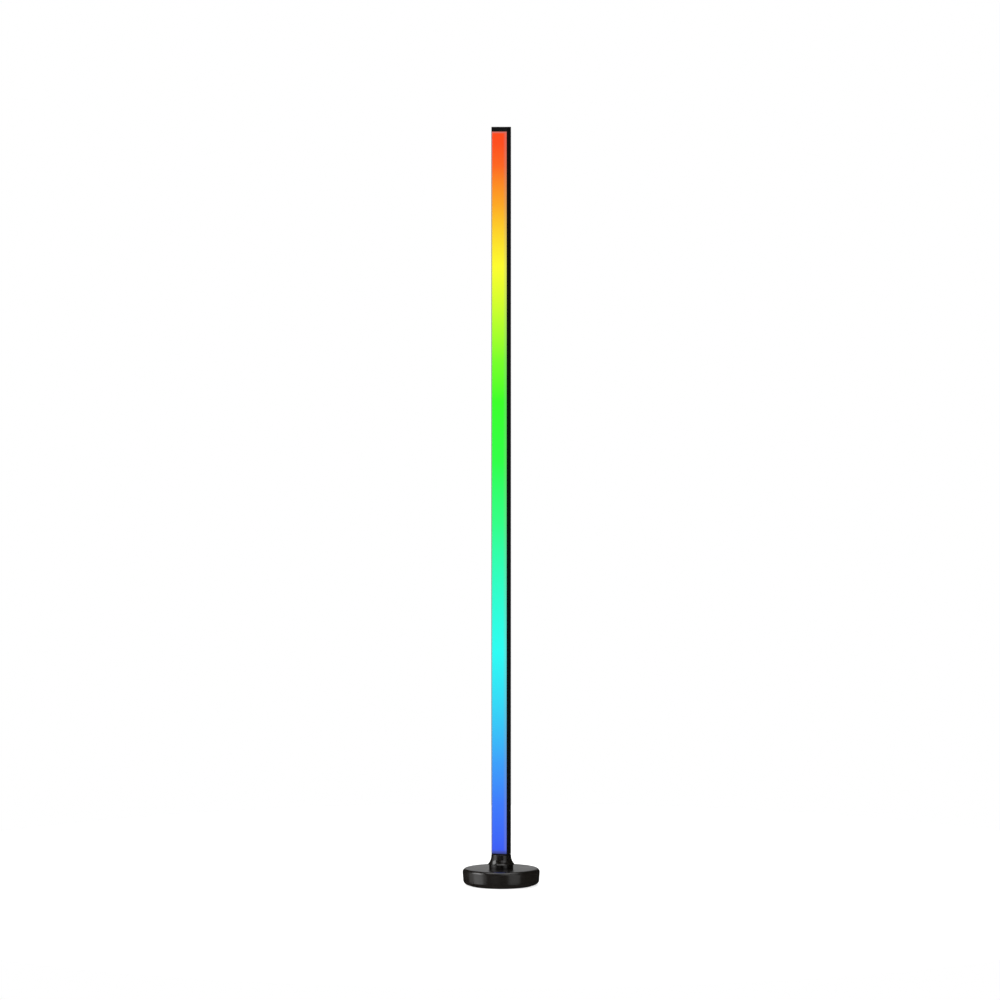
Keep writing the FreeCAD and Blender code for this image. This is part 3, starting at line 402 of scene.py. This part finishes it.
def polished_abs(name):
    """Glossy black ABS with a moulded wave, cloth marks and handled patches."""
    material, tree, shader = start_material(name, "#1C1916", 0.2, ior=ABS_IOR)
    place = add(tree, "TexCoord").outputs["Object"]
    patches = add(tree, "TexNoise", {"Vector": place, "Scale": 1 / (35 * MM), "Detail": 3.0})
    marks = add(tree, "TexNoise", {"Vector": place, "Scale": 1 / (0.5 * MM), "Detail": 2.0})
    both = add(tree, "Math", {0: patches.outputs["Fac"], 1: marks.outputs["Fac"]}, operation="MULTIPLY")
    shine = {"Value": both.outputs[0], "From Min": 0.1, "From Max": 0.45, "To Min": 0.17, "To Max": 0.27}
    tree.links.new(add(tree, "MapRange", shine).outputs["Result"], shader.inputs["Roughness"])
    tint = {0: patches.outputs["Fac"], 6: linear("#181513"), 7: linear("#201D19")}
    tree.links.new(add(tree, "Mix", tint, data_type="RGBA").outputs[2], shader.inputs["Base Color"])
    wave = add(tree, "TexNoise", {"Vector": place, "Scale": 1 / (4 * MM), "Detail": 1.0})
    bump = {"Height": wave.outputs["Fac"], "Strength": 0.25, "Distance": 0.02 * MM}
    tree.links.new(add(tree, "Bump", bump).outputs["Normal"], shader.inputs["Normal"])
    return material


gloss = polished_abs("polished_black_abs")

# %% [markdown]
# ## The base cover
# The cover is a shallow drum, 146 mm across, with a thin wall, a generous round at the top edge and a
# hub that takes the clamping force in the middle. At the back its inner wall is flat, and a flat
# recess holds the power inlet and the button. Four long posts inside take the tray's screws, and
# four short ones carry the board.

# %% Turn the base cover
BASE_RADIUS, BASE_TAPER, BASE_TOP, PART_LINE = 73.0, 1.6, 32.0, 10.5
BASE_ROUND, COVER_WALL, COVER_INSIDE = 7.0, 2.5, 29.5
LOW_RADIUS = BASE_RADIUS - BASE_TAPER
HUB_RADIUS, HUB_BOTTOM, TUBE_HOLE = 14.0, 23.0, 5.3
PANEL_INSIDE, PANEL_FACE, PANEL_HALF = 67.2, 70.0, 17.0
PANEL_LOW, PANEL_HIGH = 11.5, 24.5
PORT_OFFSET, PORT_HEIGHT, PORT_RADIUS, BUTTON_HOLE, PORT_CHAMFER = 9.5, 18.0, 5.5, 4.5, 0.6
POST_PITCH, POST_RADIUS, POST_BOTTOM, POST_HOLE, POST_DEPTH = 56.0, 3.6, 7.5, 1.55, 12.0
BOARD_TOP, BOARD_POST_RADIUS, BOARD_HOLE, BOARD_DEPTH = 11.6, 2.8, 1.25, 6.0
BEYOND = 1.0  # how far a tool runs past the face that it meets
BOARD_POSTS = [(x, y) for x in (-20.5, 20.5) for y in (37.5, 57.5)]
QUARTERS = np.pi / 4 * np.array([1, 3, 5, 7])
DIAGONALS = [(POST_PITCH * math.cos(turn), POST_PITCH * math.sin(turn)) for turn in QUARTERS]

inner_top = LOW_RADIUS - COVER_WALL + BASE_TAPER / 2
cover_outline = rounded([
    (TUBE_HOLE, BASE_TOP, 0.3),
    (TUBE_HOLE, HUB_BOTTOM, 0),
    (HUB_RADIUS, HUB_BOTTOM, 0.3),
    (HUB_RADIUS, COVER_INSIDE, 0.8),
    (inner_top - COVER_WALL, COVER_INSIDE, 0),
    (inner_top, COVER_INSIDE - COVER_WALL, 0),
    (LOW_RADIUS - COVER_WALL, PART_LINE, 0.2),
    (LOW_RADIUS, PART_LINE, 0.3),
    (BASE_RADIUS, BASE_TOP, BASE_ROUND),
])


def flatten_rear(points):
    """Pulls the inner wall at the back forward to a plane: there, y is at most PANEL_INSIDE. The
    inner wall is what lies inside the middle of the wall and no higher than the roof's inside."""
    x, y, z = np.moveaxis(points, 2, 0)
    inside = np.hypot(x, y) < (LOW_RADIUS - COVER_WALL / 2) * MM
    inside &= z < (COVER_INSIDE + BEYOND / 2) * MM
    rear = inside & (np.abs(x) < (PANEL_HALF + COVER_WALL) * MM) & (y > 0)
    points[..., 1] = np.where(rear, np.minimum(y, PANEL_INSIDE * MM), y)
    return points


cover = turned("base_cover_moulding", cover_outline, reshape=flatten_rear)
posts = [peg(x, y, POST_RADIUS, POST_BOTTOM, COVER_INSIDE + BEYOND) for x, y in DIAGONALS]
posts += [peg(x, y, BOARD_POST_RADIUS, BOARD_TOP, COVER_INSIDE + BEYOND) for x, y in BOARD_POSTS]
carve(cover, "UNION", posts)
holes = [peg(x, y, POST_HOLE, POST_BOTTOM - BEYOND, POST_BOTTOM + POST_DEPTH) for x, y in DIAGONALS]
holes += [peg(x, y, BOARD_HOLE, BOARD_TOP - BEYOND, BOARD_TOP + BOARD_DEPTH) for x, y in BOARD_POSTS]
recess = (PANEL_FACE, BASE_RADIUS + 2 * BEYOND)
holes.append(bar((-PANEL_HALF, PANEL_HALF), recess, (PANEL_LOW, PANEL_HIGH)))
carve(cover, "DIFFERENCE", holes)
ports = []
for x, radius in ((-PORT_OFFSET, PORT_RADIUS), (PORT_OFFSET, BUTTON_HOLE)):
    ends = (PANEL_INSIDE - BEYOND, PANEL_FACE + PORT_CHAMFER / 2)
    ports.append(peg(x, PORT_HEIGHT, radius, *ends, "y", PORT_CHAMFER))
carve(cover, "DIFFERENCE", ports)
dress(cover, "base_cover", "gloss_abs", gloss)

# %% [markdown]
# ## The base tray
# The tray closes the base from below. Its edge is a quarter circle, so the base seems to float, and a
# tongue inside the cover keeps the two in line. Its floor carries four bosses for the screws and a
# shallow seat for the foam pad.

# %% Turn the base tray
TRAY_BOTTOM, TRAY_EDGE, TRAY_FLOOR, PAD_SEAT = 1.5, 9.0, 4.5, 2.0
PAD_RADIUS, GAP = 60.0, 0.2
TONGUE_WALL, TONGUE_TOP = 1.8, 13.0
TONGUE_OUT = LOW_RADIUS - COVER_WALL - GAP
TONGUE_IN = TONGUE_OUT - TONGUE_WALL
BOSS_RADIUS, SCREW_HOLE, HEAD_HOLE, HEAD_TOP = 5.0, 1.7, 3.0, 3.9
NOTCH_HALF, NOTCH_INSIDE = 19.8, 63.4  # the notch in the tongue clears the rear panel

tray_outline = rounded([
    (0, PAD_SEAT, 0),
    (PAD_RADIUS + GAP, PAD_SEAT, 0),
    (PAD_RADIUS + GAP, TRAY_BOTTOM, 0.3),
    (LOW_RADIUS, TRAY_BOTTOM, TRAY_EDGE - 0.3),
    (LOW_RADIUS, PART_LINE, 0.3),
    (TONGUE_OUT, PART_LINE, 0),
    (TONGUE_OUT, TONGUE_TOP, 0.3),
    (TONGUE_IN, TONGUE_TOP, 0.3),
    (TONGUE_IN, TRAY_FLOOR + TONGUE_WALL, 0),
    (TONGUE_IN - TONGUE_WALL, TRAY_FLOOR, 0),
    (0, TRAY_FLOOR, 0),
])
tray = turned("base_tray_moulding", tray_outline)
carve(tray, "UNION", [peg(x, y, BOSS_RADIUS, PAD_SEAT + BEYOND / 2, POST_BOTTOM) for x, y in DIAGONALS])
holes = [peg(x, y, SCREW_HOLE, PAD_SEAT - BEYOND, POST_BOTTOM + BEYOND) for x, y in DIAGONALS]
holes += [peg(x, y, HEAD_HOLE, PAD_SEAT - BEYOND, HEAD_TOP) for x, y in DIAGONALS]
notch = (NOTCH_INSIDE, BASE_RADIUS)
holes.append(bar((-NOTCH_HALF, NOTCH_HALF), notch, (PART_LINE, TONGUE_TOP + BEYOND)))
carve(tray, "DIFFERENCE", holes)
dress(tray, "base_tray", "tray_abs", gloss)

# %% [markdown]
# ## Collar and neck
# Between base and column stand two mouldings. The collar is a plain cup. The neck sits on it and
# wider by two millimetres, which draws a dark line round the joint, and narrows upwards in a hollow
# curve to the width of the column. That curve is one arc that ends upright at its top.

# %% Turn the collar and the neck
COLLAR_RADIUS, COLLAR_TOP, COLLAR_HOLE, COLLAR_FLOOR = 22.6, 39.4, 19.2, 35.0
NECK_RADIUS, FLARE_RADIUS, NECK_TOP, LIP_TOP, CURVE_TOP = 18.6, 24.8, 57.8, 40.0, 55.8
FLARE_ROWS = 40
SPIGOT_HOLE, NECK_CORE, RIM_OUT, RIM_IN, RIM_BOTTOM = 7.7, 15.1, 19.0, 17.3, 35.8
PLATE_BOTTOM, CORE_BOTTOM = 51.8, 45.6
PEG_PITCH, PEG_HOLE, PEG_BOTTOM = 12.5, 1.7, 55.1  # two holes that take the foot's pegs

collar_outline = rounded([
    (TUBE_HOLE, BASE_TOP, 0),
    (COLLAR_RADIUS, BASE_TOP, 0.3),
    (COLLAR_RADIUS, COLLAR_TOP, 0.5),
    (COLLAR_HOLE, COLLAR_TOP, 0.3),
    (COLLAR_HOLE, COLLAR_FLOOR, 0.5),
    (TUBE_HOLE, COLLAR_FLOOR, 0),
])
dress(turned("neck_collar_moulding", collar_outline), "neck_collar", "gloss_abs", gloss)


def flare_corners():
    """The hollow curve: at height z its radius is NECK_RADIUS + R - sqrt(R^2 - (CURVE_TOP - z)^2),
    where R is the arc's own radius, chosen so that the curve reaches the flare's edge."""
    spread, tall = FLARE_RADIUS - NECK_RADIUS, CURVE_TOP - LIP_TOP
    own = (spread ** 2 + tall ** 2) / (2 * spread)
    z = np.linspace(LIP_TOP, CURVE_TOP, FLARE_ROWS)
    r = NECK_RADIUS + own - np.sqrt(own ** 2 - (CURVE_TOP - z) ** 2)
    return [(float(a), float(b), 0) for a, b in zip(r, z)]


neck_outline = rounded([
    (SPIGOT_HOLE, NECK_TOP, 0.3),
    (SPIGOT_HOLE, PLATE_BOTTOM, 0),
    (NECK_CORE, PLATE_BOTTOM, 0.5),
    (NECK_CORE, CORE_BOTTOM, 0),
    (RIM_IN, COLLAR_TOP, 0),
    (RIM_IN, RIM_BOTTOM, 0.2),
    (RIM_OUT, RIM_BOTTOM, 0.2),
    (RIM_OUT, COLLAR_TOP, 0),
    (FLARE_RADIUS, COLLAR_TOP, 0.25),
    *flare_corners(),
    (NECK_RADIUS, NECK_TOP, 1.0),
])
neck = turned("neck_moulding", neck_outline)
peg_holes = [peg(0, y, PEG_HOLE, PEG_BOTTOM, NECK_TOP + BEYOND) for y in (-PEG_PITCH, PEG_PITCH)]
carve(neck, "DIFFERENCE", peg_holes)
dress(neck, "neck", "gloss_abs", gloss)

# %% [markdown]
# ## Button, inlet pin and pad
# The button's face is slightly hollow, so a finger finds it without looking. The inlet's pin has a
# round tip, and the foam pad a soft edge. The button rides on the body that the joint moves.

# %% Turn the small round pieces
BUTTON_RADIUS, BUTTON_FACE, BUTTON_RIM, BUTTON_DISH = 4.2, 71.2, 0.9, 0.35
FLANGE_RADIUS, FLANGE_FRONT, FLANGE_BACK, STEM_RADIUS, STEM_BACK = 5.6, 67.1, 65.9, 2.5, 62.5
PIN_RADIUS, PIN_BACK, PIN_FRONT = 1.0, 53.2, 66.2
DISH_ROWS = 12
BUTTON_TURNS, PIN_TURNS = 96, 48


def button_corners():
    """The face is a shallow bowl: its depth falls off as 1 - (r / R)^2 from the middle to the rim."""
    rim = BUTTON_RADIUS - BUTTON_RIM
    r = np.linspace(0, rim, DISH_ROWS)
    y = BUTTON_FACE - BUTTON_DISH * (1 - (r / rim) ** 2)
    return [(float(a), float(b), 0) for a, b in zip(r, y)]


button_outline = rounded([
    *button_corners(),
    (BUTTON_RADIUS, BUTTON_FACE, 0.5),
    (BUTTON_RADIUS, FLANGE_FRONT, 0),
    (FLANGE_RADIUS, FLANGE_FRONT, 0.2),
    (FLANGE_RADIUS, FLANGE_BACK, 0.2),
    (STEM_RADIUS, FLANGE_BACK, 0),
    (STEM_RADIUS, STEM_BACK, 0.3),
    (0, STEM_BACK, 0),
])
button = turned("mode_button_moulding", button_outline, "y", (PORT_OFFSET, PORT_HEIGHT), BUTTON_TURNS)
pin_outline = rounded([
    (0, PIN_BACK, 0),
    (PIN_RADIUS, PIN_BACK, 0.2),
    (PIN_RADIUS, PIN_FRONT, 0.6),
    (0, PIN_FRONT, 0),
])
pin = turned("inlet_pin", pin_outline, "y", (-PORT_OFFSET, PORT_HEIGHT), PIN_TURNS)
pad_outline = rounded([(0, 0, 0), (PAD_RADIUS, 0, 0.4), (PAD_RADIUS, PAD_SEAT, 0.2), (0, PAD_SEAT, 0)])
pad = turned("foam_pad", pad_outline)
print("turned the button, the pin and the pad")

# %% [markdown]
# ## Broken edges on straight pieces
# The column, its cap and its foot are straight-sided, so the construction model's own faces serve.
# What they lack is the small round that tools, dies and fingers leave on every outside edge, and
# that a light picks out as a thin line. Each is copied, its loose triangles are merged, and a Bevel
# rounds the chosen edges. Inner edges stay sharp, because nobody sees or touches them.

# %% Write the edge breaker
FLAT = math.radians(0.5)


def softened(name, node, radius, steps, wanted):
    """A merged copy of a node with a Bevel on wanted edges, a test on edge middles in millimetres."""
    work = bmesh.new()
    work.from_mesh(nodes[node].data)
    bmesh.ops.remove_doubles(work, verts=work.verts, dist=MERGE)
    bmesh.ops.dissolve_limit(work, angle_limit=FLAT, verts=work.verts, edges=work.edges)
    mesh = bpy.data.meshes.new(name)
    work.to_mesh(mesh)
    work.free()
    mesh.materials.clear()
    mesh.shade_smooth()
    mesh.set_sharp_from_angle(angle=2 * CREASE)
    where = np.empty(len(mesh.vertices) * 3, np.float32)
    mesh.vertices.foreach_get("co", where)
    ends = np.empty(len(mesh.edges) * 2, np.int32)
    mesh.edges.foreach_get("vertices", ends)
    middle = where.reshape(-1, 3)[ends.reshape(-1, 2)].mean(1) / MM
    sharp = np.zeros(len(mesh.edges), bool)
    mesh.attributes["sharp_edge"].data.foreach_get("value", sharp)
    weight = mesh.attributes.new("bevel_weight_edge", "FLOAT", "EDGE")
    weight.data.foreach_set("value", (sharp & wanted(*middle.T)).astype(np.float32))
    piece = placed(name, mesh)
    bevel = piece.modifiers.new("broken_edges", "BEVEL")
    bevel.limit_method, bevel.width, bevel.segments = "WEIGHT", radius * MM, steps
    bevel.harden_normals = True
    return piece


# %% [markdown]
# ## Anodised aluminium
# The column is an extrusion: aluminium pressed through a die, then etched and anodised, which grows
# a hard clear layer that takes black dye. The dye hides the metal, so it isn't a mirror any more but a
# satin black with a firm, wide highlight. Two traces of its making remain. The die leaves fine
# lines along the length, and the etch leaves a grain like frosted glass. Real die lines are finer
# than a hair; here they are a third of a millimetre apart, so that a close view shows them.

# %% Make the column's finish
LAYER_IOR = 1.65


def black_anodised():
    """Satin black: die lines along Z, an etched grain, and slightly paler dye here and there."""
    material, tree, shader = start_material("black_anodised_aluminium", "#0A0A0B", 0.36, ior=LAYER_IOR)
    place = add(tree, "TexCoord").outputs["Object"]
    drawn = {"Vector": place, "Scale": (1 / (0.35 * MM), 1 / (0.35 * MM), 1 / (60 * MM))}
    lines = add(tree, "TexNoise", {"Vector": add(tree, "Mapping", drawn).outputs[0], "Scale": 1.0})
    grain = add(tree, "TexNoise", {"Vector": place, "Scale": 1 / (0.3 * MM), "Detail": 2.0})
    dye = add(tree, "TexNoise", {"Vector": place, "Scale": 1 / (90 * MM), "Detail": 2.0})
    tint = {0: dye.outputs["Fac"], 6: linear("#070708"), 7: linear("#0F0F11")}
    tree.links.new(add(tree, "Mix", tint, data_type="RGBA").outputs[2], shader.inputs["Base Color"])
    both = {0: lines.outputs["Fac"], 1: grain.outputs["Fac"]}
    relief = add(tree, "Math", both, operation="ADD").outputs[0]
    shine = {"Value": relief, "From Min": 0.7, "From Max": 1.3, "To Min": 0.32, "To Max": 0.42}
    tree.links.new(add(tree, "MapRange", shine).outputs["Result"], shader.inputs["Roughness"])
    bump = add(tree, "Bump", {"Height": relief, "Strength": 0.3, "Distance": 0.02 * MM})
    tree.links.new(bump.outputs["Normal"], shader.inputs["Normal"])
    return material


# %% [markdown]
# ## The column
# Three lengths of the same extrusion are joined end to end. Only their four long outside corners and
# the outer rims of their ends are rounded, by less than half a millimetre: the seam between two
# lengths then shows from close by as the thin shadow line that it is.

# %% Dress the column's three lengths
COLUMN_HALF = 15.0
EDGE_REACH = 0.05
SECTIONS = ("channel_lower", "channel_middle", "channel_upper")


def on_outside(x, y, z):
    """Edges on the skin of the square column."""
    return np.maximum(np.abs(x), np.abs(y)) > COLUMN_HALF - EDGE_REACH


anodised = black_anodised()
for node in SECTIONS:
    length = softened(node.replace("channel", "column"), node, 0.35, 2, on_outside)
    dress(length, node, "black_anodised", anodised)

# %% [markdown]
# ## The lit front
# The front is a strip of milky polycarbonate, snapped between the column's lips. Behind it, 80 small
# lamps each show their own colour, and the milky plastic blends them into one run of hues from red
# orange at the top to royal blue at the foot. Blender could light it from the lamps, but that would
# take long to render and end in noise. So the strip gives off the blended light itself, and its
# colour depends only on height. Near the side and end edges that light is mixed with grey: a painted
# highlight that stands for the sheen of the strip's rounded edges, wider on its right side than its
# left. The lowest lamp stands well above the foot, so the strip dims over its last centimetre. The
# plastic is milky white, but its colour here is the glow's own hue, darkened: painted light of the
# strip, kept dark because next to the strip's strong light the room's light hardly counts.

# %% Make the glowing plastic
FOOT_TOP, CAP_BOTTOM = 60.8, 1411.0
PC_IOR = 1.58
RAINBOW = [
    (0.000, "#3557F5"),  # royal blue
    (0.070, "#3677F9"),  # cornflower
    (0.125, "#349CF8"),  # azure
    (0.280, "#22FAF1"),  # aqua
    (0.460, "#2AFE84"),  # spring green
    (0.545, "#28FE43"),  # leaf green
    (0.628, "#36FE20"),  # green
    (0.683, "#74FE23"),  # yellow green
    (0.735, "#B3FE25"),  # lime
    (0.815, "#FCFB28"),  # yellow
    (0.900, "#FCA61D"),  # amber
    (0.953, "#FC6519"),  # orange
    (0.985, "#FC4A15"),  # red orange
]
# painted highlight: grey mixed into the glow near the strip's edges, wider on the right
PAINTED_EDGE_HIGHLIGHTS = [
    # axis, where the grey starts and where it is full, in millimetres, and its full share
    ("X", 8.0, 12.0, 0.26),
    ("X", -12.0, -13.6, 0.28),
    ("Z", CAP_BOTTOM - 4, CAP_BOTTOM - 1, 0.45),
    ("Z", FOOT_TOP + 8, FOOT_TOP + 2, 0.25),
]
DIM_FOOT = ("Z", FOOT_TOP + 9, FOOT_TOP, 0.58)
# the second number darkens the glow into the strip's base colour, a painted light of its hue
GLOW, PAINTED_GLOW_DARKENING = 0.92, 0.88


def milky_polycarbonate():
    """Light whose hue runs with height, with a painted grey highlight near the edges, from a satin strip.
    """
    material, tree, shader = start_material("milky_polycarbonate", "#303030", 0.34, ior=PC_IOR)
    place = add(tree, "TexCoord").outputs["Object"]
    at = add(tree, "SeparateXYZ", {"Vector": place})
    height = {"Value": at.outputs["Z"], "From Min": FOOT_TOP * MM, "From Max": CAP_BOTTOM * MM}
    ramp = add(tree, "ValToRGB", {"Fac": add(tree, "MapRange", height).outputs["Result"]})
    for position, _ in RAINBOW[1:-1]:
        ramp.color_ramp.elements.new(position)
    for stop, (position, colour) in zip(ramp.color_ramp.elements, RAINBOW):
        stop.position, stop.color = position, linear(colour)
    painted_highlight = 0.0
    for axis, start, full, share in PAINTED_EDGE_HIGHLIGHTS:
        rise = {"Value": at.outputs[axis], "From Min": start * MM, "From Max": full * MM, "To Max": share}
        fade = add(tree, "MapRange", rise, interpolation_type="SMOOTHSTEP").outputs["Result"]
        painted_highlight = add(tree, "Math", {0: fade, 1: painted_highlight}, operation="MAXIMUM").outputs[0]
    # the painted edge highlight: grey mixed into the rainbow
    glow = add(tree, "Mix", {0: painted_highlight, 6: ramp.outputs["Color"], 7: linear("#8C8C8C")}, data_type="RGBA")
    axis, start, full, share = DIM_FOOT
    rise = {"Value": at.outputs[axis], "From Min": start * MM, "From Max": full * MM, "To Max": share}
    dim = add(tree, "MapRange", rise, interpolation_type="SMOOTHSTEP").outputs["Result"]
    black = linear("#000000")
    glow = add(tree, "Mix", {0: dim, 6: glow.outputs[2], 7: black}, data_type="RGBA").outputs[2]
    tree.links.new(glow, shader.inputs["Emission Color"])
    shader.inputs["Emission Strength"].default_value = GLOW
    # the base colour is the glow darkened: painted light, where the plastic is really milky white
    body = add(tree, "Mix", {0: PAINTED_GLOW_DARKENING, 6: glow, 7: black}, data_type="RGBA")
    tree.links.new(body.outputs[2], shader.inputs["Base Color"])
    drawn = {"Vector": place, "Scale": (1 / (0.4 * MM), 1 / (0.4 * MM), 1 / (80 * MM))}
    lines = add(tree, "TexNoise", {"Vector": add(tree, "Mapping", drawn).outputs[0], "Scale": 1.0})
    bump = add(tree, "Bump", {"Height": lines.outputs["Fac"], "Strength": 0.2, "Distance": 0.02 * MM})
    tree.links.new(bump.outputs["Normal"], shader.inputs["Normal"])
    return material


def on_front(x, y, z):
    """The long edges of the strip's bevelled front, which the die leaves round."""
    return (y < 1 - COLUMN_HALF) & (z > FOOT_TOP + 1) & (z < CAP_BOTTOM - 1)


front = softened("diffuser_strip", "diffuser", 0.4, 3, on_front)
dress(front, "diffuser", "milky_diffuser", milky_polycarbonate())

# %% [markdown]
# ## Moulded, cast and foamed finishes
# The rest are finishes with a fine, even grain: a spark-eroded mould leaves plastic matt, a casting
# under paint is slightly pebbled, foam is full of pores, metal plating is cloudy. They differ in
# colour, shine and the size of the grain, so one function makes them all from those.

# %% Write the grained finish
BUMP_STRENGTH = 0.5


def grained(name, dark, light, roughness, grain, relief, metallic=0.0, ior=1.5):
    """A finish that wavers between two colours on grains of one size, with relief in millimetres."""
    material, tree, shader = start_material(name, dark, roughness, metallic, ior)
    place = add(tree, "TexCoord").outputs["Object"]
    spots = add(tree, "TexNoise", {"Vector": place, "Scale": 1 / (grain * MM), "Detail": 3.0})
    clouds = add(tree, "TexNoise", {"Vector": place, "Scale": 1 / (20 * grain * MM), "Detail": 2.0})
    blend = {0: spots.outputs["Fac"], 1: clouds.outputs["Fac"]}
    share = add(tree, "Math", blend, operation="MULTIPLY").outputs[0]
    spread = add(tree, "MapRange", {"Value": share, "From Min": 0.1, "From Max": 0.45}).outputs["Result"]
    tint = {0: spread, 6: linear(dark), 7: linear(light)}
    tree.links.new(add(tree, "Mix", tint, data_type="RGBA").outputs[2], shader.inputs["Base Color"])
    shine = {"Value": spread, "To Min": roughness * 0.85, "To Max": min(1.0, roughness * 1.2)}
    tree.links.new(add(tree, "MapRange", shine).outputs["Result"], shader.inputs["Roughness"])
    bump = {"Height": spots.outputs["Fac"], "Strength": BUMP_STRENGTH, "Distance": relief * MM}
    tree.links.new(add(tree, "Bump", bump).outputs["Normal"], shader.inputs["Normal"])
    return material


# %% [markdown]
# ## Cap, foot and screws
# The cap is a satin moulding that closes the top of the column, a little rounded where a hand
# passes over it. The foot is a painted casting, of which only a three millimetre edge shows. The
# screws at the back are black oxide steel.

# %% Dress the cap, the foot and the visible screws
LAMP_TOP = 1420.0
satin_abs = grained("spark_eroded_black_abs", "#060607", "#0E0E10", 0.34, 0.4, 0.02, ior=ABS_IOR)
cast_paint = grained("painted_zinc_casting", "#0B0B0C", "#151516", 0.42, 0.7, 0.03)
black_oxide = grained("black_oxide_steel", "#121213", "#1E1D1C", 0.32, 0.25, 0.01, metallic=0.9)


def on_cap(x, y, z):
    """The cap's outside edges, without those of its top, which the model has already rounded."""
    return on_outside(x, y, z) & (z < LAMP_TOP - 2)


def on_heads(x, y, z):
    """The rims of the screw heads that stand out of the column's back."""
    return y > COLUMN_HALF + 1


cap = softened("top_cap_moulding", "top_cap", 0.3, 2, on_cap)
dress(cap, "top_cap", "cap_plastic", satin_abs)
foot = softened("column_foot_casting", "column_foot", 0.3, 2, on_outside)
dress(foot, "column_foot", "cast_foot", cast_paint)
heads = softened("joiner_screw_set", "joiner_screws", 0.35, 2, on_heads)
dress(heads, "joiner_screws", "black_screw", black_oxide)

# %% [markdown]
# ## The small round pieces' finishes
# The button is the satin plastic of the cap. The pin is nickel-plated brass, a warm, clean shine. The
# pad is closed-cell foam, dull and full of pores under half a millimetre wide.

# %% Finish the button, the pin and the pad
foam = grained("closed_cell_foam", "#0C0C0D", "#1D1D1E", 0.92, 0.45, 0.12)
nickel = grained("nickel_plated_brass", "#B7B1A6", "#CFCABF", 0.22, 0.3, 0.004, metallic=1.0)
dress(button, "mode_button", "button_plastic", satin_abs)
dress(pin, "dc_pin", "pin_metal", nickel)
dress(pad, "base_pad", "pad_foam", foam)

# %% [markdown]
# ## What is inside
# The pieces inside the base and the column keep the construction model's shapes. They show only when
# the lamp is taken apart, and still each gets the finish of its real material, listed here with
# the two colours it wavers between, its roughness, its grain and its relief. Zinc plating is bright
# and a little cloudy, aluminium straight from the mill greyer and softer, pressed steel dull and
# stained. Nylon is warm white and waxy, the film on the strip a clean white, its tape cream. The cable's
# sheath is a dull black, solder mask a deep glossy green, and the resin round a chip a dry charcoal.

# %% Finish the inner pieces
zinc = grained("zinc_plated_steel", "#8E9092", "#A9ABAC", 0.3, 0.35, 0.008, metallic=1.0)
mill = grained("mill_finish_aluminium", "#9C9EA0", "#B4B6B8", 0.38, 0.5, 0.01, metallic=1.0)
steel = grained("bare_pressed_steel", "#55565A", "#6E6C68", 0.48, 1.2, 0.03, metallic=0.9)
nylon = grained("natural_nylon", "#D9D6CB", "#E6E3DA", 0.45, 0.6, 0.02, ior=1.53)
film = grained("white_coverlay_film", "#E9E9E6", "#F4F4F2", 0.4, 0.8, 0.01)
tape = grained("acrylic_foam_tape", "#D8D4CC", "#E8E5DE", 0.7, 0.5, 0.02)
package = grained("moulded_lamp_package", "#EDEBE2", "#F8F7F1", 0.3, 0.4, 0.01)
sheath = grained("pvc_sheath", "#0D0D0E", "#171718", 0.5, 0.5, 0.02, ior=1.53)
laminate = grained("green_solder_mask", "#0B3A24", "#10492E", 0.3, 0.5, 0.01, ior=1.55)
resin = grained("filled_epoxy_resin", "#151516", "#222223", 0.55, 0.2, 0.01, ior=1.55)
sleeve = grained("printed_can_sleeve", "#14181F", "#1E232B", 0.35, 0.8, 0.01, ior=1.55)
black_nylon = grained("glass_filled_nylon", "#0C0C0D", "#18181A", 0.45, 0.35, 0.02, ior=1.53)
FINISHES = {
    "joiner_lower": mill,
    "joiner_upper": mill,
    "foot_screws": black_oxide,
    "strip_tape": tape,
    "led_strip": film,
    "led_chips": package,
    "strip_connector": nylon,
    "strip_lead": sheath,
    "threaded_tube": zinc,
    "tube_nut": zinc,
    "lock_washer": zinc,
    "flat_washer": zinc,
    "tray_screws": zinc,
    "base_weight": steel,
    "controller_board": laminate,
    "board_screws": zinc,
    "controller_chip": resin,
    "capacitors": sleeve,
    "lead_socket": nylon,
    "lead_plug": nylon,
    "dc_inlet": black_nylon,
    "tact_switch": black_nylon,
    "tact_plunger": satin_abs,
}
for node, material in FINISHES.items():
    for slot in nodes[node].material_slots:
        slot.material = material
unfinished = [name for name, node in nodes.items() if not node.hide_render and name not in FINISHES]
print("inner nodes finished:", len(FINISHES), "and left out:", unfinished)
